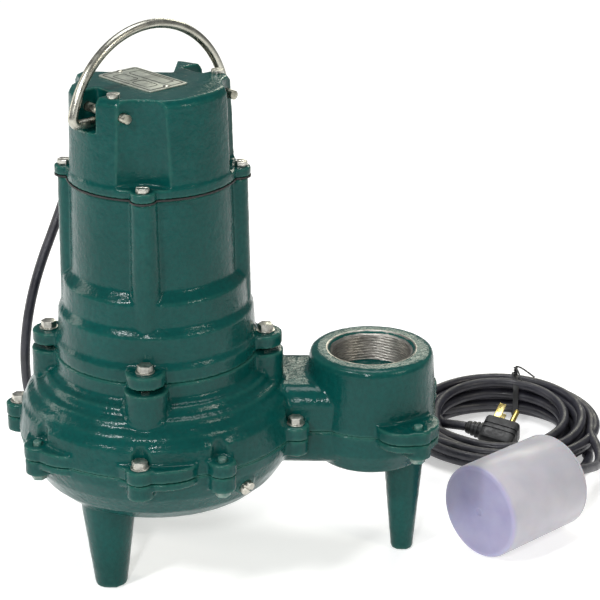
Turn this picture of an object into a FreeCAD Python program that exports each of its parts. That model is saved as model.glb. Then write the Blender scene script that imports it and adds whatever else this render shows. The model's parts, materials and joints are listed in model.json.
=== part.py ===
import FreeCAD, Part
import math
import os
import re
import Sketcher
from FreeCAD import Placement, Rotation, Vector

# Submersible sump pump with a vertical motor, a vortex impeller, a 2 in NPT vertical outlet, a mains
# cord and a piggyback float switch. Millimetres. Z is up and z = 0 is the floor under the three feet.
# Pieces are drawn with the motor shaft on the Z axis; every sub-part is then shifted by axis_x and
# axis_y, which puts the origin at the bottom centre of the pump.

SIZES = {
    "axis_x": -44.25,         # shaft position in the finished part
    "axis_y": 0.0,
    # main levels
    "bowl_z": 62.0,           # underside of the lower case
    "split_z": 113.0,         # joint between the two case halves
    "gasket_t": 0.6,
    "seam_z": 172.6,          # top of the upper case, under the motor housing
    "flange_z": 302.0,        # top of the motor housing
    "cap_gasket_t": 1.2,
    "cap_top": 371.0,
    # case
    "dome_r": 103.0,
    "neck_r": 74.0,
    "wall": 8.0,
    "ear_bolt_r": 104.5,
    "ear_top": 123.5,
    "inlet_r": 30.0,
    "outlet_x": 156.0,
    "outlet_y": 17.6,
    "outlet_r": 45.8,         # outside of the outlet boss at its top
    "outlet_top": 165.0,
    "duct_inset": 7.0,        # side of the duct, inwards from the outlet boss
    "thread_r": 30.1,         # 2 in NPT
    "thread_length": 24.0,
    # motor housing and cap
    "housing_r": 73.5,
    "housing_top_r": 58.5,
    "stator_r": 54.0,
    "lug_bolt_r": 79.0,
    "cap_r": 59.5,
    "cap_top_r": 57.0,
    "cap_screw_r": 62.6,
    # bolts
    "bolt_r": 3.1,
    "bolt_head_r": 5.6,
    "bolt_head_t": 4.4,
    "screw_r": 2.4,
    # handle
    "bail_rod_r": 3.4,
    "bail_foot_z": 351.0,
    "bail_arch_r": 68.8,
    "bail_top": 410.0,        # rod's centre line at the top of the arch
    "pin_rod_r": 3.2,
    "pin_at": 46.0,
    "pin_z": 358.6,
    # rotor
    "shaft_r": 10.0,
    "lower_seat_r": 8.5,      # 6203 bearing bore
    "lower_outer_r": 20.0,
    "upper_seat_r": 7.5,      # 6202 bearing bore
    "upper_outer_r": 17.5,
    "rotor_r": 28.5,
    "core_z": 195.0,
    "core_height": 80.0,
    "impeller_r": 70.0,
    # cords
    "cord_r": 3.9,
    "coil_x": 266.5,
    "coil_y": 206.4,
    "coil_a": 81.0,
    "coil_b": 72.6,
    "coil_hole_y": 208.0,
    "coil_hole_a": 51.0,
    "coil_hole_b": 48.0,
    "coil_back_height": 34.0,
    "coil_front_height": 20.0,
    # float
    "float_r": 36.5,
    "float_length": 84.0,
    "float_x": 238.5,
    "float_y": 5.8,
    "float_turn": 44.0,
    "float_wall": 2.2,
}

doc = FreeCAD.newDocument("SumpPump")
sheet = doc.addObject("Spreadsheet::Sheet", "Sizes")
for row, (alias, size) in enumerate(SIZES.items(), 1):
    sheet.set(f"A{row}", alias)
    sheet.set(f"B{row}", str(size))
    sheet.setAlias(f"B{row}", alias)
doc.recompute()
NODES = []


def linked(text):
    """Expression on the sheet's cells, from one written with their aliases only."""
    return re.sub(r"[a-z]\w*", lambda word: "Sizes." + word.group(0), text)


def number(value):
    """Present value of a number or of an expression on the sheet."""
    return float(sheet.evalExpression(linked(value))) if isinstance(value, str) else float(value)


def sized(kind, name, **sizes):
    """Primitive or feature whose sizes are numbers or expressions on the sheet."""
    made = doc.addObject(kind, name)
    for prop, value in sizes.items():
        if isinstance(value, str):
            made.setExpression(prop, linked(value))
        else:
            setattr(made, prop, value)
    return made


def at(made, x=0, y=0, z=0, rotation=None):
    """Place a feature, keeping each coordinate written as an expression bound to the sheet."""
    made.Placement = Placement(Vector(number(x), number(y), number(z)), rotation or Rotation())
    for letter, value in zip("xyz", (x, y, z)):
        if isinstance(value, str):
            made.setExpression(f"Placement.Base.{letter}", linked(value))
    return made


def along(direction):
    return Rotation(Vector(0, 0, 1), Vector(*direction))


def cylinder(name, radius, height, x=0, y=0, z=0, rotation=None):
    return at(sized("Part::Cylinder", name, Radius=radius, Height=height), x, y, z, rotation)


def cone(name, low, high, height, x=0, y=0, z=0, rotation=None):
    return at(sized("Part::Cone", name, Radius1=low, Radius2=high, Height=height), x, y, z, rotation)


def hexagon(name, corner_radius, height, x=0, y=0, z=0, rotation=None):
    prism = sized("Part::Prism", name, Circumradius=corner_radius, Height=height)
    prism.Polygon = 6
    return at(prism, x, y, z, rotation)


def block(name, low, high):
    """Box between two corners, each coordinate a number or an expression."""
    spans = [f"({b}) - ({a})" if isinstance(a, str) or isinstance(b, str) else b - a
             for a, b in zip(low, high)]
    made = sized("Part::Box", name, Length=spans[0], Width=spans[1], Height=spans[2])
    return at(made, *low)


def fused(name, pieces):
    made = doc.addObject("Part::MultiFuse", name)
    made.Shapes = pieces
    return made


def cut(name, base, tools):
    made = doc.addObject("Part::Cut", name)
    made.Base = base
    made.Tool = tools[0] if len(tools) == 1 else fused(name + "_tools", tools)
    return made


def group(name, pieces):
    made = doc.addObject("Part::Compound", name)
    made.Links = pieces
    return made


def turned(name, outline):
    """Body revolved about the Z axis from a closed outline of (radius, height) points."""
    body = doc.addObject("PartDesign::Body", name)
    plane = next(f for f in body.Origin.OriginFeatures if f.Role == "XZ_Plane")
    sketch = body.newObject("Sketcher::SketchObject", name + "_outline")
    sketch.AttachmentSupport = [(plane, "")]
    sketch.MapMode = "FlatFace"
    points = [Vector(number(r), number(z), 0) for r, z in outline]
    count = len(points)
    for index in range(count):
        sketch.addGeometry(Part.LineSegment(points[index], points[(index + 1) % count]), False)
    for index in range(count):
        sketch.addConstraint(Sketcher.Constraint("Coincident", index, 2, (index + 1) % count, 1))
    for index, (r, z) in enumerate(outline):
        for kind, value, axis in (("DistanceX", r, -2), ("DistanceY", z, -1)):
            if number(value) == 0:
                sketch.addConstraint(Sketcher.Constraint("PointOnObject", index, 1, axis))
                continue
            place = sketch.addConstraint(Sketcher.Constraint(kind, -1, 1, index, 1, number(value)))
            if isinstance(value, str):
                sketch.setExpression(f"Constraints[{place}]", linked(value))
    turn = body.newObject("PartDesign::Revolution", name + "_turn")
    turn.Profile = sketch
    turn.ReferenceAxis = (sketch, ["V_Axis"])
    turn.Angle = 360
    return body


def ring(name, inner, outer, low, high):
    return turned(name, [(inner, low), (outer, low), (outer, high), (inner, high)])


def polar(radius, degrees):
    """Expressions for a point on a circle about the shaft."""
    angle = math.radians(degrees)
    return f"({radius}) * {math.cos(angle):.5f}", f"({radius}) * {math.sin(angle):.5f}"


def node(label, made):
    """Register a finished sub-part and bind its Placement to the shaft's position."""
    made.Label = label
    made.setExpression("Placement.Base.x", "Sizes.axis_x")
    made.setExpression("Placement.Base.y", "Sizes.axis_y")
    NODES.append(made)
    return made


def shaped(name, shape):
    """Plain feature for a shape that Part's own functions make."""
    made = doc.addObject("Part::Feature", name)
    made.Shape = shape
    return made


def rounded_corner(before, corner, after, trim):
    """Arc tangent to two runs, trimming each by the same length: start, arc edge, end and radius."""
    into = (corner - before).normalize()
    out = (after - corner).normalize()
    half_turn = into.getAngle(out) / 2
    radius = trim / math.tan(half_turn)
    start = corner - into * trim
    end = corner + out * trim
    inward = (out - into).normalize()
    middle = corner + inward * (radius / math.cos(half_turn) - radius)
    return start, Part.Arc(start, middle, end).toShape(), end, radius


QUARTERS = (0, 90, 180, 270)
GAP = 0.05                    # running or assembly clearance where two pieces would share a face

# Bolts that hold the case halves together, as (x, y) about the shaft. The through bolts show a hex
# head on top; the others come up from below and only their tips show.
CASE_BOLTS = [polar("ear_bolt_r", 177.5), polar("ear_bolt_r", -91.4), polar("ear_bolt_r", 90),
              ("dome_r - 1", "outlet_y - 46"), ("dome_r - 1", "outlet_y + 46")]
CASE_STUDS = [polar("ear_bolt_r", -139.3), polar("ear_bolt_r", -59.3), polar("ear_bolt_r", 139.3),
              polar("ear_bolt_r", 59.3), ("outlet_x + 34.5", "outlet_y - 50"),
              ("outlet_x + 34.5", "outlet_y + 50")]
# Wide curved flanges behind some of the ears: centre, half width along the seam, half width across
# it, and the direction of the seam in degrees.
FLANGES = [("7.4", "-91", 30, 19, 0), ("0", "91", 30, 19, 0), (*polar("95", -136), 27, 15, -46),
           (*polar("95", 136), 27, 15, 46), ("outlet_x + 27", "outlet_y - 39.5", 24, 21, 34.6),
           ("outlet_x + 27", "outlet_y + 39.5", 24, 21, -34.6)]
FEET = [(-33.9, -43.4), (-45.0, 50.0)]
OUTLET_FOOT = (181.1, 19.3)


# ---- pump case -------------------------------------------------------------------------------------

def ear(name, x, y, radius, low, high):
    """Round ear at (x, y) with a web running back towards the nearest body of the case."""
    near = Vector(0, 0, 0) if number(x) < number("dome_r") + 1 else Vector(number("outlet_x"),
                                                                            number("outlet_y"), 0)
    spot = Vector(number(x), number(y), 0)
    inward = (near - spot).normalize()
    web = sized("Part::Box", name + "_web", Length=24, Height=f"({high}) - ({low})")
    web.setExpression("Width", linked(f"2 * {radius}"))
    heading = Rotation(Vector(1, 0, 0), inward)
    side = heading.multVec(Vector(0, radius, 0))
    web.Placement = Placement(spot - side + Vector(0, 0, number(low)), heading)
    return [cylinder(name, radius, f"({high}) - ({low})", x, y, low), web]


def flange(name, which, low, high):
    """Lens-shaped flange that runs along the seam and carries an ear."""
    x, y, half_along, half_across, degrees = which
    loop = sized("Part::Ellipse", name, MajorRadius=half_along, MinorRadius=half_across)
    at(loop, x, y, low, Rotation(Vector(0, 0, 1), degrees))
    plate = doc.addObject("Part::Extrusion", name + "_plate")
    plate.Base = loop
    plate.DirMode = "Custom"
    plate.Dir = Vector(0, 0, 1)
    plate.setExpression("LengthFwd", linked(f"({high}) - ({low})"))
    plate.Solid = True
    return plate


def upper_case():
    base = "split_z + gasket_t"
    dome = turned("UpperDome", [
        (0, base), ("dome_r", base), ("dome_r - 3", "split_z + 20"), ("dome_r - 11", "split_z + 32"),
        ("dome_r - 18", "split_z + 38"), ("dome_r - 23", "split_z + 43"), ("neck_r", "split_z + 48"),
        ("neck_r", "seam_z"), (0, "seam_z")])
    boss = turned("OutletBoss", [
        (0, base), ("outlet_r + 2.5", base), ("outlet_r", "outlet_top - 5"),
        ("outlet_r - 1.4", "outlet_top - 1.4"), ("outlet_r - 5", "outlet_top"), (0, "outlet_top")])
    at(boss, "outlet_x", "outlet_y")
    duct = block("UpperDuct", (40, "outlet_y - outlet_r + duct_inset", base),
                 ("outlet_x", "outlet_y + outlet_r - duct_inset", "split_z + 33"))
    duct_soft = doc.addObject("Part::Fillet", "UpperDuctRounded")
    duct_soft.Base = duct
    doc.recompute()
    top_edges = [i for i, e in enumerate(duct.Shape.Edges, 1)
                 if e.Length > 100 and e.CenterOfMass.z > number("split_z") + 20]
    duct_soft.Edges = [(i, 14.0, 14.0) for i in top_edges]
    parts = [dome, boss, duct_soft]
    for index, degrees in enumerate(QUARTERS):
        x, y = polar("lug_bolt_r - 2.5", degrees)
        parts.append(cylinder(f"Column{index}", 15.5, "seam_z - 1.6 - split_z - 12", x, y, "split_z + 12"))
    for index, (x, y) in enumerate(CASE_BOLTS + CASE_STUDS):
        parts += ear(f"UpperEar{index}", x, y, 10.0, base, "ear_top")
    for index, which in enumerate(FLANGES):
        parts.append(flange(f"UpperFlange{index}", which, base, "ear_top - 0.6"))
    solid = fused("UpperCaseSolid", parts)
    volute = turned("UpperVolute", [
        (0, base), ("dome_r - wall - 1", base), ("dome_r - wall - 4", "split_z + 15"),
        ("dome_r - wall - 15", "split_z + 25"), (0, "split_z + 25")])
    oil = ring("OilChamber", 27, "neck_r - 14", "split_z + 35", "seam_z + 1")
    passage = block("UpperPassage", (60, "outlet_y - outlet_r + 15", base),
                    ("outlet_x", "outlet_y + outlet_r - 15", "split_z + 21"))
    tools = [volute, oil, passage,
             cylinder("OutletBore", "thread_r", "thread_length + 2", "outlet_x", "outlet_y",
                      "outlet_top - thread_length"),
             cylinder("OutletWay", 27, "outlet_top - thread_length - split_z", "outlet_x", "outlet_y", base),
             cone("OutletChamfer", "thread_r", "thread_r + 2.2", 2.2, "outlet_x", "outlet_y",
                  "outlet_top - 2.2"),
             cylinder("BearingPocket", "lower_outer_r", 20, 0, 0, "seam_z - 13.6"),
             cylinder("HubTopCut", 27.5, 5, 0, 0, "seam_z - 0.4"),
             cylinder("SeatBore", 16, 40, 0, 0, "split_z + 24")]
    for index, degrees in enumerate(QUARTERS):
        x, y = polar("lug_bolt_r", degrees)
        tools.append(cylinder(f"ColumnHole{index}", f"bolt_r + {GAP}", 30, x, y, "seam_z - 24"))
    for index, (x, y) in enumerate(CASE_BOLTS + CASE_STUDS):
        tools.append(cylinder(f"UpperEarHole{index}", f"bolt_r + {GAP}", 40, x, y, "split_z - 5"))
        tools.append(cylinder(f"UpperSpotFace{index}", 7.4, 16, x, y, "ear_top"))
    node("pump_case_upper", cut("UpperCase", solid, tools))


def lower_case():
    bowl = turned("LowerBowl", [
        (0, "bowl_z"), (58, "bowl_z"), (64, "bowl_z + 2.5"), ("dome_r - 25", "bowl_z + 9"),
        ("dome_r - 15", "bowl_z + 18"), ("dome_r - 6", "bowl_z + 32"), ("dome_r - 1.5", "bowl_z + 43"),
        ("dome_r", "split_z"), (0, "split_z")])
    boss = turned("OutletElbow", [
        (0, "split_z - 37"), (26, "split_z - 37"), ("outlet_r - 6", "split_z - 31"),
        ("outlet_r + 1", "split_z - 17"), ("outlet_r + 2.5", "split_z"), (0, "split_z")])
    at(boss, "outlet_x", "outlet_y")
    duct = block("LowerDuct", (60, "outlet_y - outlet_r + duct_inset", "split_z - 29"),
                 ("outlet_x", "outlet_y + outlet_r - duct_inset", "split_z"))
    duct_soft = doc.addObject("Part::Fillet", "LowerDuctRounded")
    duct_soft.Base = duct
    doc.recompute()
    low_edges = [i for i, e in enumerate(duct.Shape.Edges, 1)
                 if e.Length > 90 and e.CenterOfMass.z < number("split_z") - 20]
    duct_soft.Edges = [(i, 16.0, 16.0) for i in low_edges]
    parts = [bowl, boss, duct_soft, cylinder("InletLip", "inlet_r + 8", 12, 0, 0, "bowl_z - 4")]
    for index, (x, y) in enumerate(FEET):
        parts.append(cone(f"Foot{index}", 11.8, 20.5, "bowl_z + 7", x, y, 0))
    x, y = OUTLET_FOOT
    parts.append(cone("OutletFoot", 8.4, 17.5, "split_z - 9", x, y, 0))
    for index, (x, y) in enumerate(CASE_BOLTS + CASE_STUDS):
        parts += ear(f"LowerEar{index}", x, y, 9.5, "split_z - 12", "split_z")
    for index, which in enumerate(FLANGES):
        parts.append(flange(f"LowerFlange{index}", which, "split_z - 5", "split_z"))
    parts.append(cone("FrontBoss", 11, 17, 10, 3, -87, "split_z - 15"))
    parts.append(cylinder("DrainBoss", 8, 14, *DRAIN_SEAT, along(DRAIN_AXIS)))
    solid = fused("LowerCaseSolid", parts)
    volute = turned("LowerVolute", [
        (0, "bowl_z + 8"), (54, "bowl_z + 8"), ("dome_r - 26", "bowl_z + 17"),
        ("dome_r - 16", "bowl_z + 31"), ("dome_r - wall - 1", "split_z"), (0, "split_z")])
    tools = [volute,
             cylinder("InletBore", "inlet_r", 30, 0, 0, "bowl_z - 10"),
             block("LowerPassage", (60, "outlet_y - outlet_r + 15", "split_z - 19"),
                   ("outlet_x", "outlet_y + outlet_r - 15", "split_z")),
             cylinder("ElbowWay", 27, 27, "outlet_x", "outlet_y", "split_z - 27"),
             cylinder("FootFlute", 5.5, 95, OUTLET_FOOT[0] + 7.5, OUTLET_FOOT[1] - 12.5, -2,
                      along((0.055, -0.075, 1))),
             cylinder("DrainBore", DRAIN_R + GAP, 30, *DRAIN_SEAT, along(DRAIN_AXIS))]
    for index, (x, y) in enumerate(CASE_BOLTS):
        tools.append(cylinder(f"LowerEarTap{index}", f"bolt_r + {GAP}", 20, x, y, "split_z - 11.5"))
    for index, (x, y) in enumerate(CASE_STUDS):
        tools.append(cylinder(f"LowerEarHole{index}", f"bolt_r + {GAP}", 40, x, y, "split_z - 30"))
        tools.append(cylinder(f"LowerSpotFace{index}", 7.0, 8, x, y, "split_z - 20"))
    node("pump_case_lower", cut("LowerCase", solid, tools))


# The drain plug stands square to the bowl's flank, low on its outlet side.
DRAIN_R = 3.6
DRAIN_TURN = math.radians(-46)
DRAIN_AXIS = (0.929 * math.cos(DRAIN_TURN), 0.929 * math.sin(DRAIN_TURN), -0.37)
DRAIN_SEAT = (85 * math.cos(DRAIN_TURN), 85 * math.sin(DRAIN_TURN), 99)


def drain_plug():
    turn = along(DRAIN_AXIS)
    start = Vector(*DRAIN_SEAT) + Vector(*DRAIN_AXIS) * 2
    seat = Vector(*DRAIN_SEAT) + Vector(*DRAIN_AXIS) * (14 + GAP)
    shank = cylinder("DrainShank", DRAIN_R, 12.2, *start, turn)
    head = cylinder("DrainHead", 5.4, 3.2, *seat, turn)
    slot = sized("Part::Box", "DrainSlot", Length=14, Width=1.4, Height=4)
    slot.Placement = Placement(seat + Vector(*DRAIN_AXIS) * 1.8 + turn.multVec(Vector(-7, -0.7, 0)), turn)
    node("drain_plug", cut("DrainPlug", fused("DrainSolid", [shank, head]), [slot]))


def case_gasket():
    outer = fused("GasketOuter", [
        cylinder("GasketDisc", "dome_r - 0.4", "gasket_t", 0, 0, "split_z"),
        cylinder("GasketBoss", "outlet_r + 2", "gasket_t", "outlet_x", "outlet_y", "split_z"),
        block("GasketDuct", (60, "outlet_y - outlet_r + duct_inset + 0.4", "split_z"),
              ("outlet_x", "outlet_y + outlet_r - duct_inset - 0.4", "split_z + gasket_t"))])
    tools = [cylinder("GasketHole", "dome_r - wall - 1", 4, 0, 0, "split_z - 1"),
             cylinder("GasketOutlet", 27, 4, "outlet_x", "outlet_y", "split_z - 1"),
             block("GasketPassage", (60, "outlet_y - outlet_r + 15", "split_z - 1"),
                   ("outlet_x", "outlet_y + outlet_r - 15", "split_z + 2"))]
    for index, (x, y) in enumerate(CASE_BOLTS + CASE_STUDS):
        tools.append(cylinder(f"GasketBolt{index}", "bolt_r + 0.4", 4, x, y, "split_z - 1"))
    node("case_gasket", cut("CaseGasket", outer, tools))


def hex_bolts():
    """Case bolts with heads on top, and studs whose tips show on top and heads below."""
    bolts = []
    for index, (x, y) in enumerate(CASE_BOLTS):
        shank = cylinder(f"CaseShank{index}", "bolt_r", "ear_top - split_z + 11", x, y, "split_z - 11")
        washer = cylinder(f"CaseWasher{index}", 6.6, 1.0, x, y, "ear_top")
        head = hexagon(f"CaseHead{index}", "bolt_head_r", "bolt_head_t", x, y, "ear_top + 1")
        bolts.append(fused(f"CaseBolt{index}", [shank, washer, head]))
    node("case_bolts", group("CaseBolts", bolts))
    studs = []
    for index, (x, y) in enumerate(CASE_STUDS):
        tip = cylinder(f"StudShank{index}", "bolt_r", "ear_top - split_z + 12 + 2", x, y, "split_z - 12")
        head = hexagon(f"StudHead{index}", "bolt_head_r", "bolt_head_t", x, y,
                       "split_z - 12 - bolt_head_t")
        studs.append(fused(f"CaseStud{index}", [tip, head]))
    node("case_stud_bolts", group("CaseStudBolts", studs))
    lugs = []
    for index, degrees in enumerate(QUARTERS):
        x, y = polar("lug_bolt_r", degrees)
        shank = cylinder(f"LugShank{index}", "bolt_r", 34, x, y, "seam_z - 20.6")
        washer = cylinder(f"LugWasher{index}", 6.8, 1.0, x, y, "seam_z + 11.9")
        head = hexagon(f"LugHead{index}", "bolt_head_r", "bolt_head_t", x, y, "seam_z + 12.9")
        lugs.append(fused(f"LugBolt{index}", [shank, washer, head]))
    node("housing_bolts", group("HousingBolts", lugs))


# ---- motor housing and cap -------------------------------------------------------------------------

def motor_housing():
    shell = turned("HousingShell", [
        ("stator_r", "seam_z"), ("housing_r", "seam_z"), ("housing_r", "seam_z + 10"),
        ("housing_r - 2", "seam_z + 14"), ("housing_r - 3", "seam_z + 33"), ("housing_r - 6.5", "seam_z + 38"),
        ("housing_r - 7.5", "seam_z + 56"), ("housing_r - 13.5", "seam_z + 63"),
        ("housing_top_r", "flange_z"), ("stator_r", "flange_z")])
    parts = [shell]
    for index, degrees in enumerate(QUARTERS):
        x, y = polar("housing_top_r - 0.5", degrees)
        parts.append(cone(f"Rib{index}", 11.0, 9.4, "flange_z - seam_z - 32", x, y, "seam_z + 32"))
        x, y = polar("lug_bolt_r - 2", degrees)
        parts.append(cylinder(f"Lug{index}", 14.0, 9.4, x, y, "seam_z + 2.5"))
    solid = fused("HousingSolid", parts)
    tools = [cylinder("HousingBore", "stator_r", 200, 0, 0, "seam_z - 10")]
    for index, degrees in enumerate(QUARTERS):
        x, y = polar("lug_bolt_r", degrees)
        tools.append(cylinder(f"LugHole{index}", f"bolt_r + {GAP}", 14, x, y, "seam_z + 1"))
        x, y = polar("cap_screw_r", degrees)
        tools.append(cylinder(f"RibHole{index}", f"screw_r + {GAP}", 24, x, y, "flange_z - 22"))
    node("motor_housing", cut("Housing", solid, tools))
    node("housing_oring", ring("HousingOring", "stator_r - 3.4", f"stator_r - {GAP}", "seam_z + 0.1",
                               "seam_z + 3.4"))


def cap_gasket():
    parts = [cylinder("CapGasketDisc", "cap_r + 1.3", "cap_gasket_t", 0, 0, "flange_z")]
    tools = [cylinder("CapGasketHole", "stator_r - 2", 4, 0, 0, "flange_z - 1")]
    for index, degrees in enumerate(QUARTERS):
        x, y = polar("cap_screw_r - 2.2", degrees)
        parts.append(cylinder(f"CapGasketTab{index}", 9.2, "cap_gasket_t", x, y, "flange_z"))
        x, y = polar("cap_screw_r", degrees)
        tools.append(cylinder(f"CapGasketBolt{index}", "screw_r + 0.3", 4, x, y, "flange_z - 1"))
    node("cap_gasket", cut("CapGasket", fused("CapGasketOuter", parts), tools))


HANDLE = Vector(math.sqrt(0.5), math.sqrt(0.5), 0)      # the bail's plane holds this direction and Z
ACROSS = Vector(math.sqrt(0.5), -math.sqrt(0.5), 0)     # the two handle pins run this way
CORD_EXIT_TURN = math.radians(115)
CORD_EXIT = Vector(math.cos(CORD_EXIT_TURN), math.sin(CORD_EXIT_TURN), 0)
CORD_EXIT_Z = 330.0


def handle_frame(s, t, z):
    """Point given along the handle (s), across it (t) and up."""
    return HANDLE * s + ACROSS * t + Vector(0, 0, z)


def motor_cap():
    base = "flange_z + cap_gasket_t"
    body = turned("CapBody", [
        (0, base), ("cap_r + 0.8", base), ("cap_r + 0.8", "flange_z + 7.6"), ("cap_r", "flange_z + 9"),
        ("cap_top_r + 0.2", "cap_top - 4"), ("cap_top_r - 3", "cap_top"), (0, "cap_top")])
    parts = [body]
    scallops = []
    for index, degrees in enumerate(QUARTERS):
        x, y = polar("cap_screw_r - 2.2", degrees)
        parts.append(cylinder(f"CapEar{index}", 9.0, 6.4, x, y, base))
        x, y = polar("cap_r + 21", degrees)
        scallops.append(cylinder(f"Scallop{index}", 30.5, 80, x, y, "flange_z + 7.8"))
    shell = cut("CapScalloped", fused("CapOuter", parts), scallops)
    exit_turn = along(tuple(CORD_EXIT))
    gland_seat = CORD_EXIT * 44 + Vector(0, 0, CORD_EXIT_Z)
    hub = ring("CapHub", "upper_outer_r", 23, "cap_top - 54", "cap_top - 30")
    solid = fused("CapSolid", [shell, cylinder("GlandBoss", 12.5, 20, *gland_seat, exit_turn)])
    tools = [ring("CapCavity", 22.9, 44, "flange_z - 2", "cap_top - 33"),
             cylinder("CapHubWay", 24, "cap_top - 54 - flange_z + 2", 0, 0, "flange_z - 2"),
             cylinder("CapHubBore", "upper_outer_r", 40, 0, 0, "cap_top - 78"),
             block("CapBackStep", (-70, 21.5, "cap_top - 15"), (14, 80, "cap_top + 5")),
             cylinder("GlandBore", 7.6, 40, *(CORD_EXIT * 30 + Vector(0, 0, CORD_EXIT_Z)), exit_turn)]
    along_handle = Rotation(Vector(1, 0, 0), HANDLE)
    for index, side in enumerate((-1, 1)):
        low = handle_frame(38 if side > 0 else -78, 10.4, 345.8)
        pocket = sized("Part::Box", f"HandlePocket{index}", Length=40, Width=20.8, Height=50)
        tools.append(at(pocket, *low, along_handle))
        way = handle_frame(side * number("pin_at"), -27, number("pin_z"))
        tools.append(cylinder(f"PinWay{index}", f"pin_rod_r + {GAP}", 70, *way, along(tuple(ACROSS))))
        hole = handle_frame(side * number("pin_at"), 18, number("pin_z"))
        tools.append(cylinder(f"LockHole{index}", 2.1, 30, *hole))
    for index, degrees in enumerate(QUARTERS):
        x, y = polar("cap_screw_r", degrees)
        tools.append(cylinder(f"CapHole{index}", "screw_r + 0.2", 14, x, y, "flange_z"))
    for index, side in enumerate((-1, 1)):
        spot = PLATE_CENTRE + ACROSS * (side * PLATE_RIVET)
        tools.append(cylinder(f"RivetHole{index}", 1.3, 6, spot.x, spot.y, "cap_top - 4.5"))
    node("motor_cap", fused("MotorCap", [cut("CapHollow", solid, tools), hub]))
    screws = []
    for index, degrees in enumerate(QUARTERS):
        x, y = polar("cap_screw_r", degrees)
        shank = cylinder(f"CapShank{index}", "screw_r", 26, x, y, "flange_z + 7.6 - 26")
        head = hexagon(f"CapHead{index}", 4.9, 3.6, x, y, "flange_z + 7.6")
        slot = sized("Part::Box", f"CapSlot{index}", Length=12, Width=1.2, Height=2)
        at(slot, f"{x} - 6", f"{y} - 0.6", "flange_z + 9.8")
        screws.append(cut(f"CapScrew{index}", fused(f"CapScrewSolid{index}", [shank, head]), [slot]))
    node("cap_screws", group("CapScrews", screws))


PLATE_CENTRE = Vector(-5, -1, 0)
PLATE_RIVET = 26.0


def nameplate():
    plate = sized("Part::Box", "PlateBlank", Length=59, Width=34, Height=0.8)
    corner = PLATE_CENTRE + ACROSS * -29.5 + HANDLE * -17 + Vector(0, 0, number("cap_top"))
    at(plate, *corner, Rotation(Vector(1, 0, 0), ACROSS))
    rounded = doc.addObject("Part::Fillet", "PlateRounded")
    rounded.Base = plate
    doc.recompute()
    rounded.Edges = [(i, 3.0, 3.0) for i, e in enumerate(plate.Shape.Edges, 1) if e.Length < 2]
    holes = []
    rivets = []
    for index, side in enumerate((-1, 1)):
        spot = PLATE_CENTRE + ACROSS * (side * PLATE_RIVET)
        holes.append(cylinder(f"PlateHole{index}", 1.3, 4, spot.x, spot.y, "cap_top - 1"))
        shank = cylinder(f"RivetShank{index}", 1.25, 5, spot.x, spot.y, "cap_top - 4")
        head = at(sized("Part::Sphere", f"RivetBall{index}", Radius=3.2), spot.x, spot.y, "cap_top - 1.2")
        top = block(f"RivetTop{index}", (spot.x - 4, spot.y - 4, "cap_top + 0.8"),
                    (spot.x + 4, spot.y + 4, "cap_top + 8"))
        dome = doc.addObject("Part::Common", f"RivetDome{index}")
        dome.Base = head
        dome.Tool = top
        rivets.append(fused(f"Rivet{index}", [shank, dome]))
    node("nameplate", cut("Nameplate", rounded, holes))
    node("nameplate_rivets", group("NameplateRivets", rivets))


def handle():
    """Round rod bail: two feet turned in under the pins, two uprights and a half-round arch."""
    foot_z = number("bail_foot_z")
    arch_r = number("bail_arch_r")
    arch_z = number("bail_top") - arch_r
    foot_in = 40.0
    lean = math.radians(15.9)
    bend_trim = 6.5

    def half(side):
        """Straight foot, tight bend and short upright, up to where the arch begins."""
        arch_end = handle_frame(side * arch_r * math.cos(lean), 0, arch_z + arch_r * math.sin(lean))
        rise = arch_end.z - foot_z
        corner = handle_frame(side * (arch_r * math.cos(lean) + rise * math.tan(lean)), 0, foot_z)
        inner = handle_frame(side * foot_in, 0, foot_z)
        start, bend, end, _ = rounded_corner(inner, corner, arch_end, bend_trim)
        return [Part.LineSegment(inner, start).toShape(), bend,
                Part.LineSegment(end, arch_end).toShape()], arch_end

    left, left_end = half(-1)
    right, right_end = half(1)
    top = handle_frame(0, 0, arch_z + arch_r)
    path = Part.Wire(Part.__sortEdges__(left + [Part.Arc(left_end, top, right_end).toShape()] + right))
    profile = Part.Wire(Part.Circle(handle_frame(-foot_in, 0, foot_z), HANDLE,
                                    number("bail_rod_r")).toShape())
    bail = path.makePipeShell([profile], True, False)
    node("handle_bail", shaped("HandleBail", bail))
    for side, word in ((-1, "left"), (1, "right")):
        start = handle_frame(side * number("pin_at"), -24, number("pin_z"))
        length = 57.0 if side < 0 else 60.0
        pin = cylinder(f"Pin_{word}", "pin_rod_r", length, *start, along(tuple(ACROSS)))
        bite = cylinder(f"PinBite_{word}", 2.2, 20, *handle_frame(side * number("pin_at"), 18, 350))
        node(f"handle_pin_{word}", cut(f"HandlePin_{word}", pin, [bite]))
    screws = []
    for index, side in enumerate((-1, 1)):
        x, y, _ = handle_frame(side * number("pin_at"), 18, 0)
        shank = cylinder(f"LockShank{index}", 2.05, "cap_top - pin_z + 3", x, y, "pin_z - 3")
        head = cylinder(f"LockHead{index}", 4.4, 2.6, x, y, "cap_top")
        slot = block(f"LockSlot{index}", (x - 6, y - 0.6, "cap_top + 1.2"), (x + 6, y + 0.6, "cap_top + 5"))
        screws.append(cut(f"LockScrew{index}", fused(f"LockSolid{index}", [shank, head]), [slot]))
    node("pin_lock_screws", group("PinLockScrews", screws))


# ---- motor and rotor -------------------------------------------------------------------------------

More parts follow.
